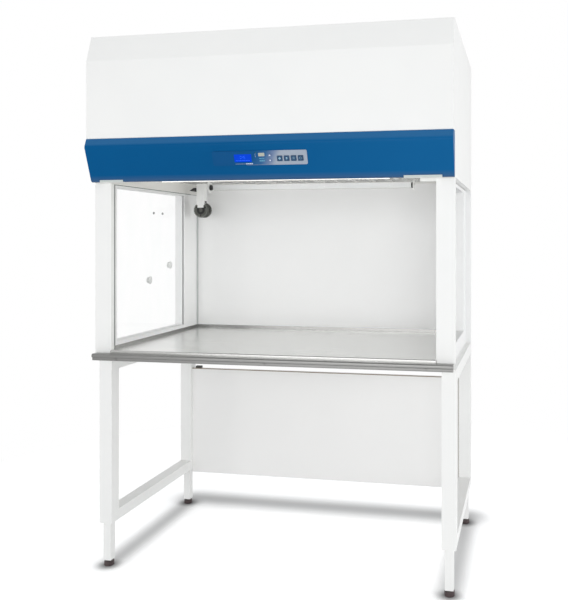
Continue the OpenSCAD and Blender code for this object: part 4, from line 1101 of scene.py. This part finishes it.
def paper_floor():
    mesh = bpy.data.meshes.new("paper_floor")
    sheet = bmesh.new()
    bmesh.ops.create_grid(sheet, x_segments=1, y_segments=1, size=PAPER_HALF)
    sheet.to_mesh(mesh)
    sheet.free()
    floor = placed("paper_floor", mesh)
    material, tree, surface = tree_of("paper")
    grain = noise(tree, on_piece(tree), 30.0, 3.0)
    feed(tree, surface, {
        "Base Color": blend(tree, grain, (0.86, 0.86, 0.86), (0.9, 0.9, 0.9)),
        "Roughness": 0.9, "Specular IOR Level": 0.1,
    })
    tinted = blend(tree, contact_shade(tree), (0.0, 0.0, 0.0), PAPER_TONE)
    lit = put(tree, "BsdfDiffuse", {"Color": tinted}).outputs["BSDF"]
    glow = put(tree, "Emission", {"Color": tinted, "Strength": PAPER_GLOW}).outputs["Emission"]
    both = put(tree, "AddShader", {0: lit, 1: glow}).outputs["Shader"]
    white = put(tree, "Emission", {"Color": PURE_WHITE, "Strength": 1.0}).outputs["Emission"]
    far = measured(tree, "LENGTH", on_piece(tree, centre=(0.1, 0, 0)))["Value"]
    edge = spread(tree, far, 0.0, 1.0, PAPER_REACH * FADE_START, PAPER_REACH)
    near = either_shader(tree, edge, both, white)
    show(tree, either_shader(tree, seen_directly(tree), surface.outputs["BSDF"], near))
    mesh.materials.append(material)


def white_surround():
    world = bpy.data.worlds.new("surround")
    bpy.context.scene.world = world
    world.use_nodes = True
    tree = world.node_tree
    tree.nodes.clear()
    dim = put(tree, "Background", {"Color": (0.97, 0.985, 1.0, 1), "Strength": AMBIENT})
    white = put(tree, "Background", {"Color": PURE_WHITE, "Strength": 1.0})
    sky = either_shader(tree, seen_directly(tree), dim.outputs["Background"], white.outputs["Background"])
    put(tree, "OutputWorld", {"Surface": sky})


paper_floor()
white_surround()
print("floor and surround made")

# %% [markdown]
# ## Lamps
#
# A product studio uses large soft boxes: one in front and to the left for the shape, one on the
# right so that no side goes dark, and one overhead to lay the shadow softly under the machine.
# Big area lamps give these soft edges on their own. Sun lamps would be simpler, but their
# shadows are crisp and their reflections in the steel are points.

# %% Lamps
CHEST = (0, 0, 1.1)


def soft_box(name, place, aim, size, power):
    lamp = bpy.data.lights.new(name, "AREA")
    lamp.shape, lamp.size, lamp.size_y, lamp.energy = "RECTANGLE", *size, power
    box = placed(name, lamp)
    box.location = place
    box.rotation_euler = (Vector(aim) - Vector(place)).to_track_quat("-Z", "Y").to_euler()


soft_box("front_box", place=(-0.3, -5.6, 1.3), aim=CHEST, size=(4.4, 2.4), power=92)
soft_box("right_box", place=(4.4, -1.0, 1.3), aim=CHEST, size=(2.6, 2.4), power=56)
soft_box("overhead_box", place=(0.0, 0.1, 4.8), aim=(0, 0, 0), size=(2.6, 2.0), power=14)

# %% [markdown]
# ## Camera
#
# The portrait is taken from the front, a little to the right of the middle and at chest height,
# with the camera held level, so that all upright edges stay upright. The picture is then framed
# by shifting the lens, as an architect's camera does, and not by tilting it.

# %% Camera
SENSOR, LENS, SHIFT = 36, 44.14, (-0.1693, -0.1025)
STAND_POINT, LEVEL, TURN = (0.9044, -2.8229, 1.2339), 90, 10.80


def level_camera():
    data = bpy.data.cameras.new("portrait")
    data.sensor_width, data.lens = SENSOR, LENS
    data.shift_x, data.shift_y = SHIFT
    camera = placed("portrait", data)
    camera.location = STAND_POINT
    camera.rotation_euler = (math.radians(LEVEL), 0, math.radians(TURN))
    bpy.context.scene.camera = camera


level_camera()
bpy.context.scene.view_settings.view_transform = "Standard"
print("camera at", STAND_POINT, "lens", LENS, "mm")
